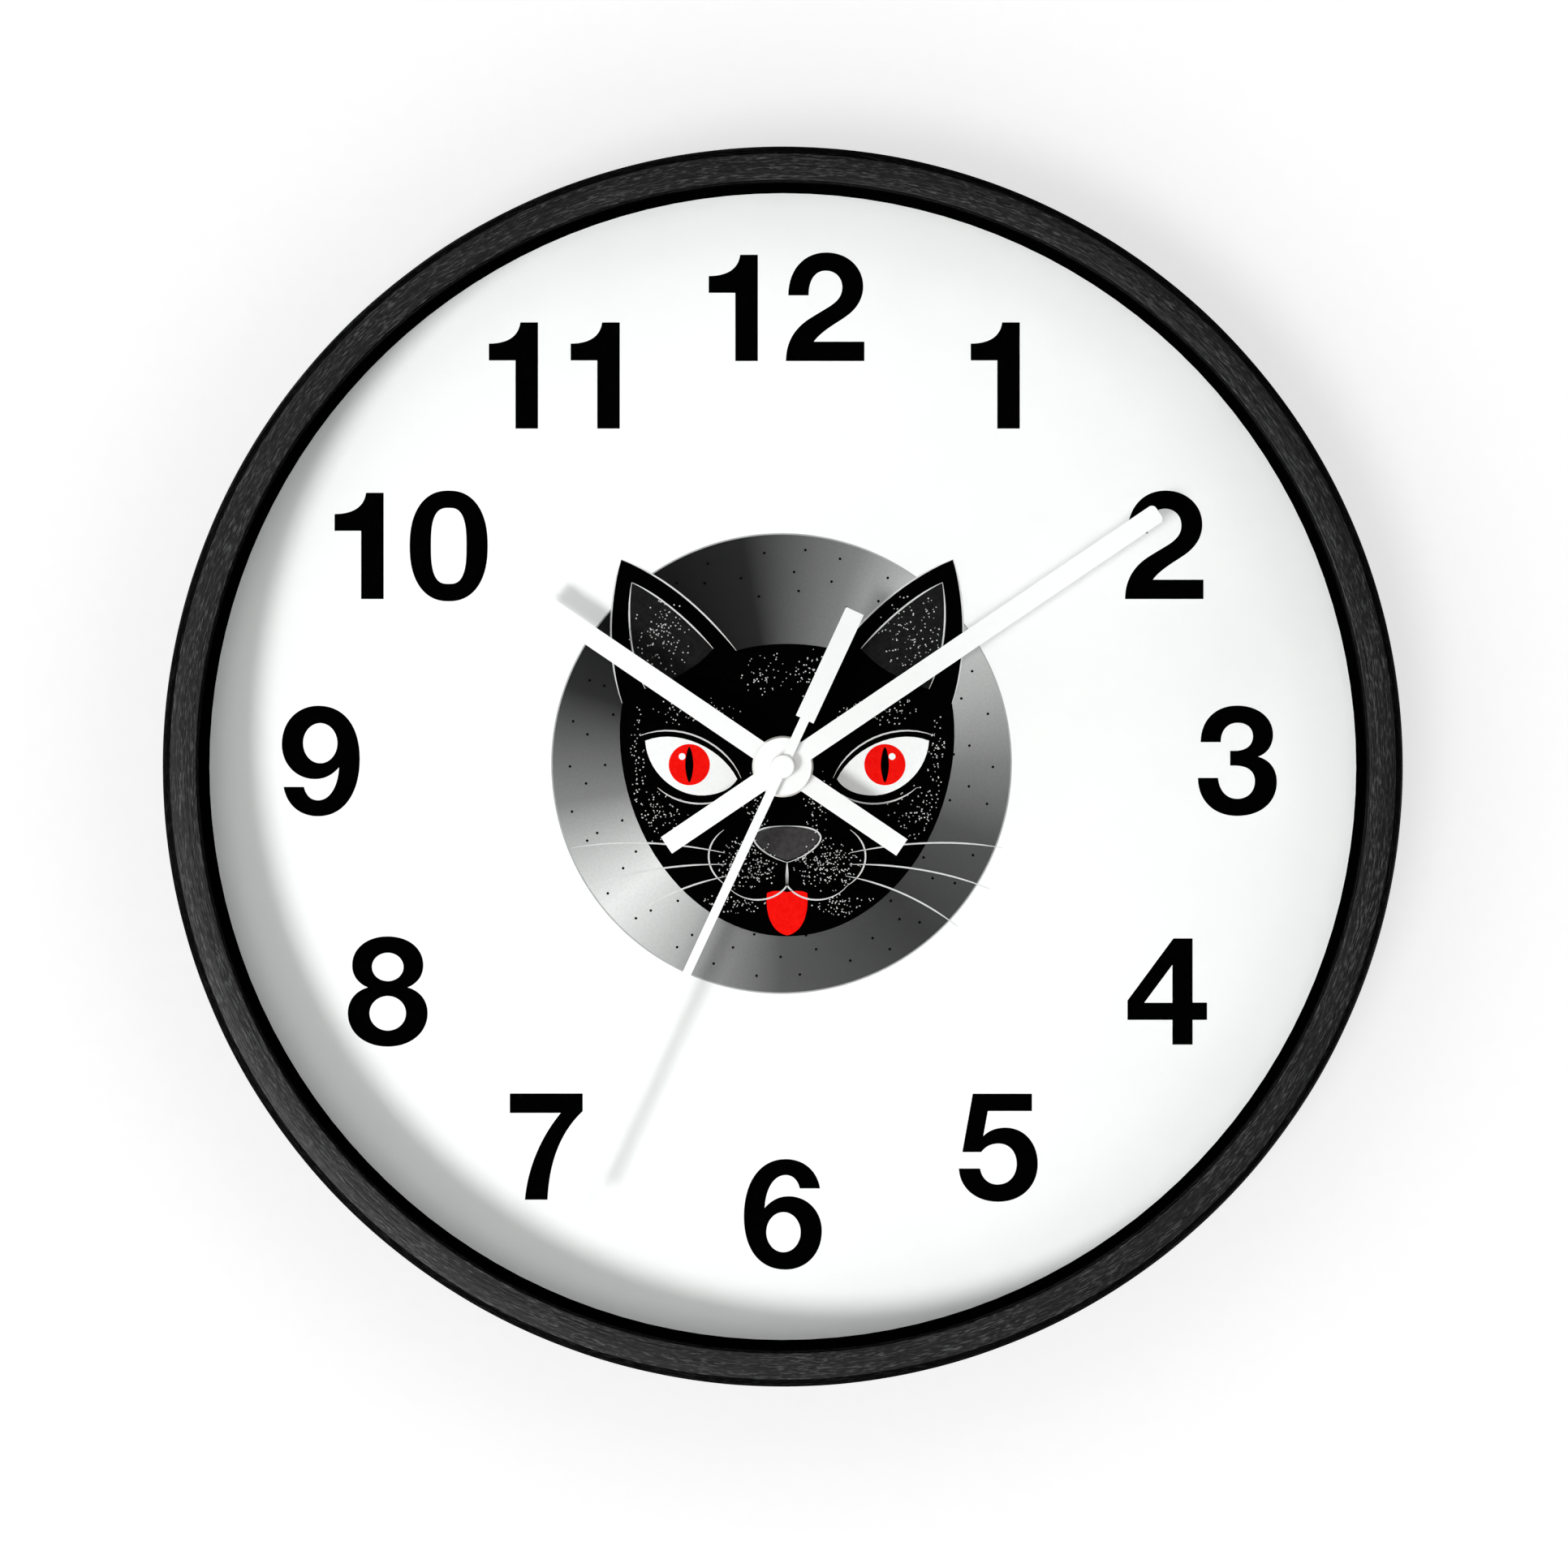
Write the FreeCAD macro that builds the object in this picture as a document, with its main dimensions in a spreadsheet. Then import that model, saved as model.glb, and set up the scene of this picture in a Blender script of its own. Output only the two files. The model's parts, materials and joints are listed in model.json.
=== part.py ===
import FreeCAD, Part
import Sketcher
import os
from math import acos, atan2, cos, degrees, pi, radians, sin, sqrt, tan
from FreeCAD import Placement, Rotation, Vector

# A ten inch round wall clock: a painted wood ring, a glazed printed dial, a quartz movement
# on the dial's centre and three hands.
#
# Row frame: +Z up, the dial faces -Y, the wall is the plane Y = 0, the hands turn about the Y axis.
# Each face-on piece is drawn as seen from the front: x to the right, y up, and its level is
# the distance in front of the wall. face_on() stands such a drawing up into the row frame.

DIMS = {
    # wood ring, glazing and dial
    "frame_radius": 127.0,
    "frame_depth": 40.0,
    "face_round": 2.5,
    "back_round": 0.8,
    "lip_radius": 119.6,
    "lip_depth": 2.5,
    "lip_round": 0.35,
    "rebate_radius": 121.5,
    "pane_radius": 121.3,
    "lens_thickness": 2.0,
    "dial_recess": 18.0,
    "sheet_thickness": 0.3,
    "board_thickness": 2.5,
    "dial_hole": 4.1,
    "point_count": 8,
    "point_width": 8.0,
    "point_inner": 113.0,
    "point_outer": 125.0,
    "point_thickness": 0.6,
    "point_play": 0.1,
    "gasket_radius": 14.0,
    "gasket_thickness": 0.5,
    # movement case
    "case_half": 28.0,
    "case_depth": 15.5,
    "case_corner": 3.0,
    "case_wall": 1.3,
    "case_floor": 1.2,
    "cover_thickness": 1.5,
    "bay_top": -11.5,
    "bay_wall": 1.2,
    "bay_relief": 0.6,
    "hanger_half_width": 10.0,
    "hanger_top": 42.0,
    "hanger_thickness": 3.0,
    "hanger_corner": 5.0,
    "keyhole_radius": 4.5,
    "keyhole_centre": 33.5,
    "keyslot_half": 2.25,
    "keyslot_centre": 39.0,
    "snap_low": -6.0,
    "snap_high": 18.0,
    "snap_half": 2.8,
    "snap_inner": 25.6,
    "snap_gap": 0.1,
    "snap_leg": 4.0,
    "barb_length": 1.0,
    "barb_play": 0.2,
    "relief_margin": 0.5,
    "boss_radius": 1.3,
    "boss_rise": 2.4,
    "post_radius": 1.8,
    "pin_radius": 0.8,
    "small_post": 1.4,
    "small_pin": 0.6,
    "pin_stand": 1.2,
    "pivot_socket": 1.4,
    "end_play": 0.2,
    "plate_thickness": 1.0,
    "plate_corner": 1.5,
    # shafts, tubes and running fits
    "fit": 0.05,
    "tube_fit": 0.07,
    "rotor_arbor": 0.35,
    "wheel_arbor": 0.4,
    "seconds_arbor": 0.5,
    "minute_bore": 0.56,
    "minute_tube": 1.45,
    "hour_bore": 1.52,
    "hour_tube": 2.55,
    "bushing_bore": 2.62,
    "bushing_radius": 3.9,
    "bushing_flange": 5.0,
    "thread_pitch": 0.75,
    "thread_depth": 0.3,
    "thread_width": 0.675,
    "thread_turns": 5,
    "stud_radius": 0.7,
    "knob_stem": 1.0,
    "knob_radius": 5.5,
    "knob_thickness": 1.8,
    "knob_flutes": 20,
    "flute_radius": 0.5,
    "flute_offset": 0.2,
    # gear train
    "fine_module": 0.25,
    "centre_distance": 8.5,
    "dial_module": 0.35,
    "wheel_addendum": 0.45,
    "wheel_dedendum": 1.35,
    "pinion_addendum": 1.0,
    "pinion_dedendum": 0.8,
    "backlash": 0.045,
    "rotor_teeth": 10,
    "idler_teeth": 50,
    "idler_pinion_teeth": 10,
    "seconds_teeth": 60,
    "seconds_pinion_teeth": 8,
    "third_teeth": 60,
    "third_pinion_teeth": 8,
    "centre_teeth": 64,
    "cannon_teeth": 10,
    "minute_teeth": 30,
    "minute_pinion_teeth": 8,
    "hour_teeth": 32,
    "knob_teeth": 20,
    "idler_bearing": 130.0,
    "rotor_bearing": 150.0,
    "minute_bearing": 60.0,
    "knob_bearing": 20.0,
    "wheel_thickness": 0.8,
    "idler_thickness": 0.6,
    "window_radius": 1.25,
    "window_ring": 4.3,
    "window_count": 5,
    "spring_radius": 3.0,
    "spring_thickness": 0.2,
    "spring_notch": 1.0,
    "spring_arms": 3,
    "idler_hub": 0.9,
    "seconds_hub": 0.8,
    # rises above the case's rear face
    "idler_pinion_rise": 3.2,
    "seconds_rise": 3.4,
    "seconds_pinion_rise": 5.0,
    "short_pinion": 1.2,
    "third_rise": 5.2,
    "third_pinion_rise": 6.0,
    "third_pinion_length": 2.2,
    "idler_rise": 6.3,
    "rotor_pinion_rise": 6.1,
    "rotor_pinion_length": 1.0,
    "centre_rise": 7.2,
    "plate_rise": 8.4,
    "cannon_rise": 10.2,
    "cannon_length": 1.4,
    "minute_rise": 10.4,
    "minute_pinion_length": 1.7,
    "hour_rise": 12.0,
    "flange_rise": 13.0,
    "stud_rise": 13.7,
    # stepping motor and circuit
    "magnet_radius": 2.5,
    "magnet_rise": 3.0,
    "magnet_length": 2.4,
    "rotor_hub": 0.8,
    "pole_radius": 3.0,
    "pole_gap": 0.4,
    "stator_rise": 3.6,
    "stator_thickness": 0.8,
    "core_thickness": 1.0,
    "core_width": 3.0,
    "coil_x": -21.5,
    "stator_reach": 11.95,
    "stator_arm": 9.25,
    "stator_overhang": 2.1,
    "pole_back": 1.2,
    "pole_front": 0.6,
    "bobbin_length": 18.0,
    "bobbin_width": 8.0,
    "bobbin_height": 7.0,
    "bobbin_flange": 1.0,
    "bobbin_tube": 1.9,
    "winding_radius": 3.3,
    "lug_length": 2.15,
    "lug_depth": 1.0,
    "lug_inset": 0.2,
    "coil_pin": 0.3,
    "pin_sink": 0.6,
    "pin_length": 1.9,
    "board_rise": 5.6,
    "circuit_thickness": 0.8,
    "board_half": 25.8,
    "board_low": 19.9,
    "board_top": 26.2,
    "tongue_left": 3.0,
    "tongue_right": 22.0,
    "tongue_low": 15.9,
    "blob_radius": 3.2,
    "blob_height": 1.1,
    "blob_round": 0.88,
    "blob_x": 16.5,
    "blob_y": 19.6,
    "crystal_radius": 1.0,
    "crystal_length": 6.0,
    "crystal_y": 24.4,
    "lead_radius": 0.15,
    "lead_length": 1.6,
    "lead_offset": 0.4,
    # cell and contacts
    "cell_radius": 7.1,
    "cell_length": 49.3,
    "cell_cap_radius": 2.75,
    "cell_cap_length": 1.2,
    "cell_y": -19.1,
    "cell_rise": 7.4,
    "cell_round": 0.6,
    "cell_cap_round": 0.3,
    "contact_thickness": 0.4,
    "contact_low": -26.0,
    "contact_high": -12.0,
    "contact_rise": 1.8,
    "contact_depth": 12.0,
    "strip_end": 25.5,
    "strip_depth": 2.0,
    "strip_play": 0.2,
    "tab_low": 22.5,
    "tab_overlap": 1.5,
    "leaf_bow": 2.1,
    "leaf_half": 5.5,
    "leaf_rise": 5.0,
    "leaf_depth": 5.0,
    # front of the dial: stack above the dial's face
    "washer_radius": 5.8,
    "washer_thickness": 0.4,
    "nut_flats": 10.0,
    "nut_thickness": 2.4,
    "bushing_stand": 4.6,
    "hour_hand_stand": 6.2,
    "hour_tube_stand": 7.0,
    "minute_hand_stand": 8.6,
    "minute_tube_stand": 9.4,
    "second_hand_stand": 10.6,
    "hand_thickness": 0.5,
    "second_hand_thickness": 0.4,
    "hand_width": 4.1,
    "hand_tip_round": 1.1,
    "hour_hand_length": 60.4,
    "hour_hand_tail": 29.8,
    "minute_hand_length": 93.7,
    "minute_hand_tail": 29.0,
    "hand_hub": 5.95,
    "second_hand_length": 100.7,
    "second_hand_tail": 35.3,
    "second_stem_width": 1.97,
    "second_tip_width": 1.6,
    "second_tip_round": 0.72,
    "counterweight_width": 4.0,
    "counterweight_start": 10.7,
    "second_hub": 2.5,
    "hour_collet": 3.3,
    "minute_collet": 2.4,
    "second_collet": 0.95,
    "collet_length": 0.7,
    "second_collet_length": 0.9,
    "cap_height": 0.8,
    "cap_round": 0.4,
    # clock angles of the hands at rest, clockwise from twelve
    "hour_angle": 304.2,
    "minute_angle": 55.9,
    "second_angle": 204.9,
}

doc = FreeCAD.newDocument("wall_clock")
sheet = doc.addObject("Spreadsheet::Sheet", "Dims")
Z = Vector(0, 0, 1)
SUB_PARTS = []
# how near two lengths are when they count as the same
SAME = 0.01


class Size:
    """A length that carries both its value and the sheet formula it comes from."""

    def __init__(self, value, formula):
        self.value = float(value)
        self.formula = formula

    def joined(self, other, sign, value):
        return Size(value, f"({self.formula} {sign} {as_size(other).formula})")

    def __add__(self, other):
        return self.joined(other, "+", self.value + as_size(other).value)

    def __sub__(self, other):
        return self.joined(other, "-", self.value - as_size(other).value)

    def __mul__(self, other):
        return self.joined(other, "*", self.value * as_size(other).value)

    def __truediv__(self, other):
        return self.joined(other, "/", self.value / as_size(other).value)

    def __neg__(self):
        return Size(-self.value, f"(0 - {self.formula})")


def as_size(number):
    return number if isinstance(number, Size) else Size(number, str(float(number)))


def dim(name):
    return Size(DIMS[name], f"Dims.{name}")


def fill_sheet():
    for row, (name, value) in enumerate(DIMS.items(), start=1):
        sheet.set(f"A{row}", name)
        sheet.set(f"B{row}", str(value))
        sheet.setAlias(f"B{row}", name)
    doc.recompute()


def bind(item, path, size):
    item.setExpression(path, as_size(size).formula)


# ---------------------------------------------------------------- sketches and features


def origin_item(body, role):
    return next(item for item in body.Origin.OriginFeatures if item.Role == role)


def new_body(name):
    body = doc.addObject("PartDesign::Body", name)
    body.Label = name
    SUB_PARTS.append(body)
    return body


def new_sketch(body, name, level=0, plane="XY_Plane", turn=0):
    drawing = body.newObject("Sketcher::SketchObject", name)
    drawing.AttachmentSupport = (origin_item(body, plane), [""])
    drawing.MapMode = "FlatFace"
    level = as_size(level)
    drawing.AttachmentOffset = Placement(Vector(0, 0, level.value), Rotation(Z, turn))
    bind(drawing, "AttachmentOffset.Base.z", level)
    return drawing


def bound(drawing, kind, *terms, size):
    number = drawing.addConstraint(Sketcher.Constraint(kind, *terms, size.value))
    drawing.setExpression(f"Constraints[{number}]", size.formula)


def pin_point(drawing, index, corner, x, y):
    """Hold one point of a sketch at its place, measured from the sketch's origin."""
    for kind, axis, size in (("DistanceX", -2, as_size(x)), ("DistanceY", -1, as_size(y))):
        if abs(size.value) < 1e-9:
            drawing.addConstraint(Sketcher.Constraint("PointOnObject", index, corner, axis))
        else:
            bound(drawing, kind, -1, 1, index, corner, size=size)


def add_circle(drawing, radius, x=0, y=0):
    radius = as_size(radius)
    centre = Vector(as_size(x).value, as_size(y).value, 0)
    index = drawing.addGeometry(Part.Circle(centre, Z, radius.value))
    pin_point(drawing, index, 3, x, y)
    bound(drawing, "Radius", index, size=radius)


def add_polygon(drawing, points):
    corners = [Vector(as_size(x).value, as_size(y).value, 0) for x, y in points]
    first = drawing.GeometryCount
    count = len(corners)
    for i, corner in enumerate(corners):
        drawing.addGeometry(Part.LineSegment(corner, corners[(i + 1) % count]))
    for i in range(count):
        joint = Sketcher.Constraint("Coincident", first + i, 2, first + (i + 1) % count, 1)
        drawing.addConstraint(joint)
    for i, (x, y) in enumerate(points):
        pin_point(drawing, first + i, 1, x, y)


def box_points(x0, x1, y0, y1):
    return [(x0, y0), (x1, y0), (x1, y1), (x0, y1)]


def pad(body, drawing, length):
    feature = body.newObject("PartDesign::Pad", f"{drawing.Name}_pad")
    feature.Profile = drawing
    bind(feature, "Length", length)
    doc.recompute()
    return feature


def pocket(body, drawing, length=None):
    """Cut upwards from the sketch by a length, or right through both ways."""
    feature = body.newObject("PartDesign::Pocket", f"{drawing.Name}_cut")
    feature.Profile = drawing
    if length is None:
        feature.Type = "ThroughAll"
        feature.Midplane = True
    else:
        feature.Reversed = True
        bind(feature, "Length", length)
    doc.recompute()
    return feature


def disc(body, name, radius, level, length, x=0, y=0):
    drawing = new_sketch(body, name, level)
    add_circle(drawing, radius, x, y)
    return pad(body, drawing, length)


def block(body, name, x0, x1, y0, y1, level, length):
    drawing = new_sketch(body, name, level)
    add_polygon(drawing, box_points(x0, x1, y0, y1))
    return pad(body, drawing, length)


def plate(body, name, points, level, length):
    drawing = new_sketch(body, name, level)
    add_polygon(drawing, points)
    return pad(body, drawing, length)


def hole(body, name, radius, x=0, y=0, level=0, length=None):
    drawing = new_sketch(body, name, level)
    add_circle(drawing, radius, x, y)
    return pocket(body, drawing, length)


def slot_cut(body, name, x0, x1, y0, y1, level=0, length=None):
    drawing = new_sketch(body, name, level)
    add_polygon(drawing, box_points(x0, x1, y0, y1))
    return pocket(body, drawing, length)


def turned(body, name, points):
    """Turn a profile of (radius, level) points about the body's own Z axis."""
    drawing = new_sketch(body, name, plane="XZ_Plane")
    add_polygon(drawing, points)
    feature = body.newObject("PartDesign::Revolution", f"{name}_turned")
    feature.Profile = drawing
    feature.ReferenceAxis = (drawing, ["V_Axis"])
    feature.Angle = 360
    doc.recompute()
    return feature


def round_the_axis(body, feature, count):
    pattern = body.newObject("PartDesign::PolarPattern", f"{feature.Name}_ring")
    pattern.Originals = [feature]
    pattern.Axis = (origin_item(body, "Z_Axis"), [""])
    pattern.Angle = 360
    bind(pattern, "Occurrences", count)
    body.Tip = pattern
    doc.recompute()
    return pattern


def round_edges(body, radius, wanted):
    """Round each edge of the body's last feature that the test picks out."""
    base = body.Tip
    names = [f"Edge{i}" for i, edge in enumerate(base.Shape.Edges, start=1) if wanted(edge)]
    feature = body.newObject("PartDesign::Fillet", f"{body.Name}_round")
    feature.Base = (base, names)
    bind(feature, "Radius", radius)
    doc.recompute()
    return feature


def is_upright(edge):
    return edge.Curve.TypeId == "Part::GeomLine" and abs(edge.tangentAt(0).z) > 0.99


def at_end(length):
    """A test for the upright edges at a piece's far end along its own y axis."""
    limit = length.value - SAME
    return lambda edge: is_upright(edge) and edge.Vertexes[0].Y > limit


def is_ring(radius, level):
    """A test for the circle of this radius at this level."""
    radius, level = as_size(radius).value, as_size(level).value

    def test(edge):
        round_edge = edge.Curve.TypeId == "Part::GeomCircle"
        return (
            round_edge
            and abs(edge.Curve.Radius - radius) < SAME
            and abs(edge.Curve.Center.z - level) < SAME
        )

    return test


# ---------------------------------------------------------------- places


def face_on(body, x=0, y=0, turn=0):
    """Stand a face-on body up in the row frame, turned anticlockwise by an angle in degrees."""
    x, y = as_size(x), as_size(y)
    upright = Placement(Vector(x.value, 0, y.value), Rotation(Vector(1, 0, 0), 90))
    body.Placement = upright.multiply(Placement(Vector(), Rotation(Z, turn)))
    bind(body, "Placement.Base.x", x)
    bind(body, "Placement.Base.z", y)


def bearing_from(start, distance, bearing):
    """A point this far from another, at an angle in degrees from the x axis."""
    angle = radians(bearing.value)
    across = distance * Size(cos(angle), f"cos({bearing.formula} * 1 deg)")
    up = distance * Size(sin(angle), f"sin({bearing.formula} * 1 deg)")
    return start[0] + across, start[1] + up


fill_sheet()
DIAL_FRONT = dim("frame_depth") - dim("dial_recess")
BOARD_FRONT = DIAL_FRONT - dim("sheet_thickness")
BOARD_BACK = BOARD_FRONT - dim("board_thickness")
CASE_FRONT = BOARD_BACK - dim("gasket_thickness")
CASE_BACK = CASE_FRONT - dim("case_depth")
FLOOR = CASE_BACK + dim("case_floor")
COVER_BACK = CASE_FRONT - dim("cover_thickness")
PLATE_BACK = CASE_BACK + dim("plate_rise")
LENS_FRONT = dim("frame_depth") - dim("lip_depth")
CHAMBER = dim("case_half") - dim("case_wall")
CHAMBER_LOW = dim("bay_top") + dim("bay_wall")


def level_of(name):
    return CASE_BACK + dim(name)


def stack_at(name):
    return DIAL_FRONT + dim(name)


def mesh_distance(module, first, second):
    return module * (dim(first) + dim(second)) / 2


FINE = dim("fine_module")
DIALWORK = dim("dial_module")
CENTRE = (as_size(0), as_size(0))
THIRD = (dim("centre_distance"), as_size(0))
CENTRE_MODULE = dim("centre_distance") * 2 / (dim("third_pinion_teeth") + dim("centre_teeth"))
IDLER = bearing_from(
    CENTRE, mesh_distance(FINE, "idler_pinion_teeth", "seconds_teeth"), dim("idler_bearing")
)
ROTOR = bearing_from(
    IDLER, mesh_distance(FINE, "rotor_teeth", "idler_teeth"), dim("rotor_bearing")
)
MINUTE = bearing_from(
    CENTRE, mesh_distance(DIALWORK, "cannon_teeth", "minute_teeth"), dim("minute_bearing")
)
KNOB = bearing_from(
    MINUTE, mesh_distance(DIALWORK, "minute_teeth", "knob_teeth"), dim("knob_bearing")
)
# upright posts of the rear shell, as (x, y) on the case
PLATE_POSTS = [(-14.5, -7.5), (18.5, -7.0), (18.5, 13.0), (-2.5, 16.4)]
BOARD_POSTS = [(-10.0, 24.0), (7.0, 24.0)]
STATOR_POSTS = [(-16.6, 21.1), (-16.6, -0.2)]
# the mid plate's corners, which take in its posts and every pivot
PLATE_CORNERS = [
    (-16.4, -9.8),
    (20.6, -9.8),
    (20.6, 15.2),
    (3.0, 18.6),
    (-5.0, 18.8),
    (-16.4, 13.8),
]


# ---------------------------------------------------------------- gears


PRESSURE_ANGLE = radians(20)
# each tooth starts this share of the root radius out, inside the root disc
TOOTH_START = 0.94


def involute(angle):
    return tan(angle) - angle


def tooth_corners(teeth, module, addendum, dedendum):
    """Half a tooth's outline as polar points (radius, half angle), from the root to the tip."""
    pitch = module * teeth / 2
    base = pitch * cos(PRESSURE_ANGLE)
    tip = pitch + module * addendum
    root = pitch - module * dedendum
    half = pi / (2 * teeth) - DIMS["backlash"] / (2 * pitch)
    at_pitch = half + involute(PRESSURE_ANGLE)

    def flank(radius):
        return at_pitch - involute(acos(min(1.0, base / radius)))

    low = max(root, base)
    middle = (low + tip) / 2
    inside = TOOTH_START * root
    return [(inside, flank(low)), (low, flank(low)), (middle, flank(middle)), (tip, flank(tip))]


def polar(radius, angle):
    return Vector(radius * cos(angle), radius * sin(angle), 0)


def draw_tooth(drawing, corners):
    """One tooth on the sketch's x axis: straight roots, curved flanks and a round tip."""
    tip_radius = corners[-1][0]
    right = [polar(r, -a) for r, a in corners]
    left = [polar(r, a) for r, a in corners]
    edges = [
        Part.LineSegment(left[0], right[0]),
        Part.LineSegment(right[0], right[1]),
        Part.Arc(right[1], right[2], right[3]),
        Part.Arc(right[3], polar(tip_radius, 0), left[3]),
        Part.Arc(left[3], left[2], left[1]),
        Part.LineSegment(left[1], left[0]),
    ]
    for edge in edges:
        index = drawing.addGeometry(edge)
        drawing.addConstraint(Sketcher.Constraint("Block", index))


def toothed(body, name, module, level, length, phase, wheel):
    """A gear stage: a root disc, and one tooth repeated round the axis.

    phase is the angle of a tooth's centre line, in degrees anticlockwise from the x axis.
    """
    kind = "wheel" if wheel else "pinion"
    teeth = dim(f"{name}_teeth")
    root = module * (teeth / 2 - dim(f"{kind}_dedendum"))
    disc(body, f"{name}_root", root, level, length)
    drawing = new_sketch(body, f"{name}_tooth", level, turn=phase)
    addendum, dedendum = DIMS[f"{kind}_addendum"], DIMS[f"{kind}_dedendum"]
    draw_tooth(drawing, tooth_corners(int(teeth.value), module.value, addendum, dedendum))
    return round_the_axis(body, pad(body, drawing, length), teeth)


def bearing_between(first, second):
    return degrees(atan2(second[1].value - first[1].value, second[0].value - first[0].value))


def mesh_phase(first, first_place, first_phase, second, second_place):
    """The tooth phase that puts a gear in mesh with one whose phase is known."""
    ratio = DIMS[f"{first}_teeth"] / DIMS[f"{second}_teeth"]
    line = bearing_between(first_place, second_place)
    half_pitch = 180 / DIMS[f"{second}_teeth"]
    return line + 180 - (first_phase - line) * ratio + half_pitch


def windows(body):
    """A ring of round lightening holes through a wheel."""
    first = hole(body, f"{body.Name}_window", dim("window_radius"), x=dim("window_ring"))
    round_the_axis(body, first, dim("window_count"))


PHASES = {"seconds": 0, "seconds_pinion": 0, "third_pinion": 0, "cannon": 0, "minute_pinion": 0}
PHASES["idler_pinion"] = mesh_phase("seconds", CENTRE, PHASES["seconds"], "idler_pinion", IDLER)
PHASES["idler"] = 0
PHASES["rotor"] = mesh_phase("idler", IDLER, PHASES["idler"], "rotor", ROTOR)
PHASES["third"] = mesh_phase("seconds_pinion", CENTRE, 0, "third", THIRD)
PHASES["centre"] = mesh_phase("third_pinion", THIRD, 0, "centre", CENTRE)
PHASES["minute"] = mesh_phase("cannon", CENTRE, 0, "minute", MINUTE)
PHASES["hour"] = mesh_phase("minute_pinion", MINUTE, 0, "hour", CENTRE)
PHASES["knob"] = mesh_phase("minute", MINUTE, PHASES["minute"], "knob", KNOB)


# ---------------------------------------------------------------- ring, glazing and dial


def frame_ring():
    body = new_body("frame_ring")
    outer, depth = dim("frame_radius"), dim("frame_depth")
    lip, rebate = dim("lip_radius"), dim("rebate_radius")
    profile = [
        (rebate, 0),
        (outer, 0),
        (outer, depth),
        (lip, depth),
        (lip, LENS_FRONT),
        (rebate, LENS_FRONT),
    ]
    turned(body, "ring_profile", profile)
    play, thick = dim("point_play"), dim("point_thickness")
    half = dim("point_width") / 2 + play
    far, low = dim("point_outer") + play, BOARD_BACK - thick - play / 2
    slot = slot_cut(body, "point_slot", lip, far, -half, half, low, thick + play)
    round_the_axis(body, slot, dim("point_count"))
    round_edges(body, dim("face_round"), is_ring(outer, depth))
    round_edges(body, dim("back_round"), is_ring(outer, 0))
    round_edges(body, dim("lip_round"), is_ring(lip, depth))
    face_on(body)


def flat_ring(name, outer, inner, level, thickness):
    """A flat round piece with a round hole, such as a washer or a pane."""
    body = new_body(name)
    drawing = new_sketch(body, f"{name}_outline", level)
    add_circle(drawing, outer)
    if inner is not None:
        add_circle(drawing, inner)
    pad(body, drawing, thickness)
    face_on(body)
    return body


def glazing_points():
    body = new_body("glazing_points")
    half = dim("point_width") / 2
    near, far, thick = dim("point_inner"), dim("point_outer"), dim("point_thickness")
    first = block(body, "strip", near, far, -half, half, BOARD_BACK - thick, thick)
    round_the_axis(body, first, dim("point_count"))
    face_on(body)


def glazing():
    lens_back = LENS_FRONT - dim("lens_thickness")
    flat_ring("lens", dim("pane_radius"), None, lens_back, dim("lens_thickness"))
    flat_ring(
        "spacer_ring", dim("pane_radius"), dim("lip_radius"), DIAL_FRONT, lens_back - DIAL_FRONT
    )
    hole_radius = dim("dial_hole")
    sheet_size = dim("sheet_thickness")
    flat_ring("dial_sheet", dim("pane_radius"), hole_radius, BOARD_FRONT, sheet_size)
    flat_ring("dial_board", dim("pane_radius"), hole_radius, BOARD_BACK, dim("board_thickness"))
    glazing_points()


# ---------------------------------------------------------------- movement case


def case_outline(body, name, level, length):
    half = dim("case_half")
    block(body, name, -half, half, -half, half, level, length)
    round_edges(body, dim("case_corner"), is_upright)


def post(body, name, x, y, radius, top, pin):
    """A round post on the case floor, with a thinner pin above its shoulder."""
    disc(body, f"{name}_post", radius, FLOOR, top - FLOOR, x, y)
    disc(body, f"{name}_pin", pin, top, dim("pin_stand"), x, y)


def pivot_boss(body, name, place, arbor):
    """A boss on the case floor with a blind socket for an arbor's lower end."""
    top = CASE_BACK + dim("boss_rise")
    disc(body, f"{name}_boss", dim("boss_radius"), FLOOR, top - FLOOR, *place)
    bottom = top - dim("pivot_socket") + dim("end_play")
    hole(body, f"{name}_socket", arbor + dim("fit"), *place, level=bottom, length=dim("pivot_socket"))


def hanger(body):
    """A tab above the case with a keyhole for the head and shank of a wall hook."""
    half, thick = dim("hanger_half_width"), dim("hanger_thickness")
    low = dim("case_half") - dim("case_wall")
    block(body, "hanger_tab", -half, half, low, dim("hanger_top"), CASE_BACK, thick)
    round_edges(body, dim("hanger_corner"), at_end(dim("hanger_top")))
    head, shank = dim("keyhole_centre"), dim("keyslot_centre")
    slot = dim("keyslot_half")
    hole(body, "keyhole_head", dim("keyhole_radius"), 0, head, CASE_BACK, thick)
    slot_cut(body, "keyhole_slot", -slot, slot, head, shank, CASE_BACK, thick)
    hole(body, "keyhole_end", slot, 0, shank, CASE_BACK, thick)


def snap_places():
    return [(side, dim(name)) for side in (-1, 1) for name in ("snap_low", "snap_high")]


def snap_windows(body):
    """Openings in the two side walls for the cover's four snap hooks."""
    play = dim("barb_play")
    half = dim("snap_half") + play
    low = COVER_BACK - dim("snap_leg")
    high = low + dim("barb_length") + play * 2
    for name in ("snap_low", "snap_high"):
        drawing = new_sketch(body, f"{name}_window", plane="YZ_Plane")
        add_polygon(drawing, box_points(dim(name) - half, dim(name) + half, low, high))
        pocket(body, drawing)


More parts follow.
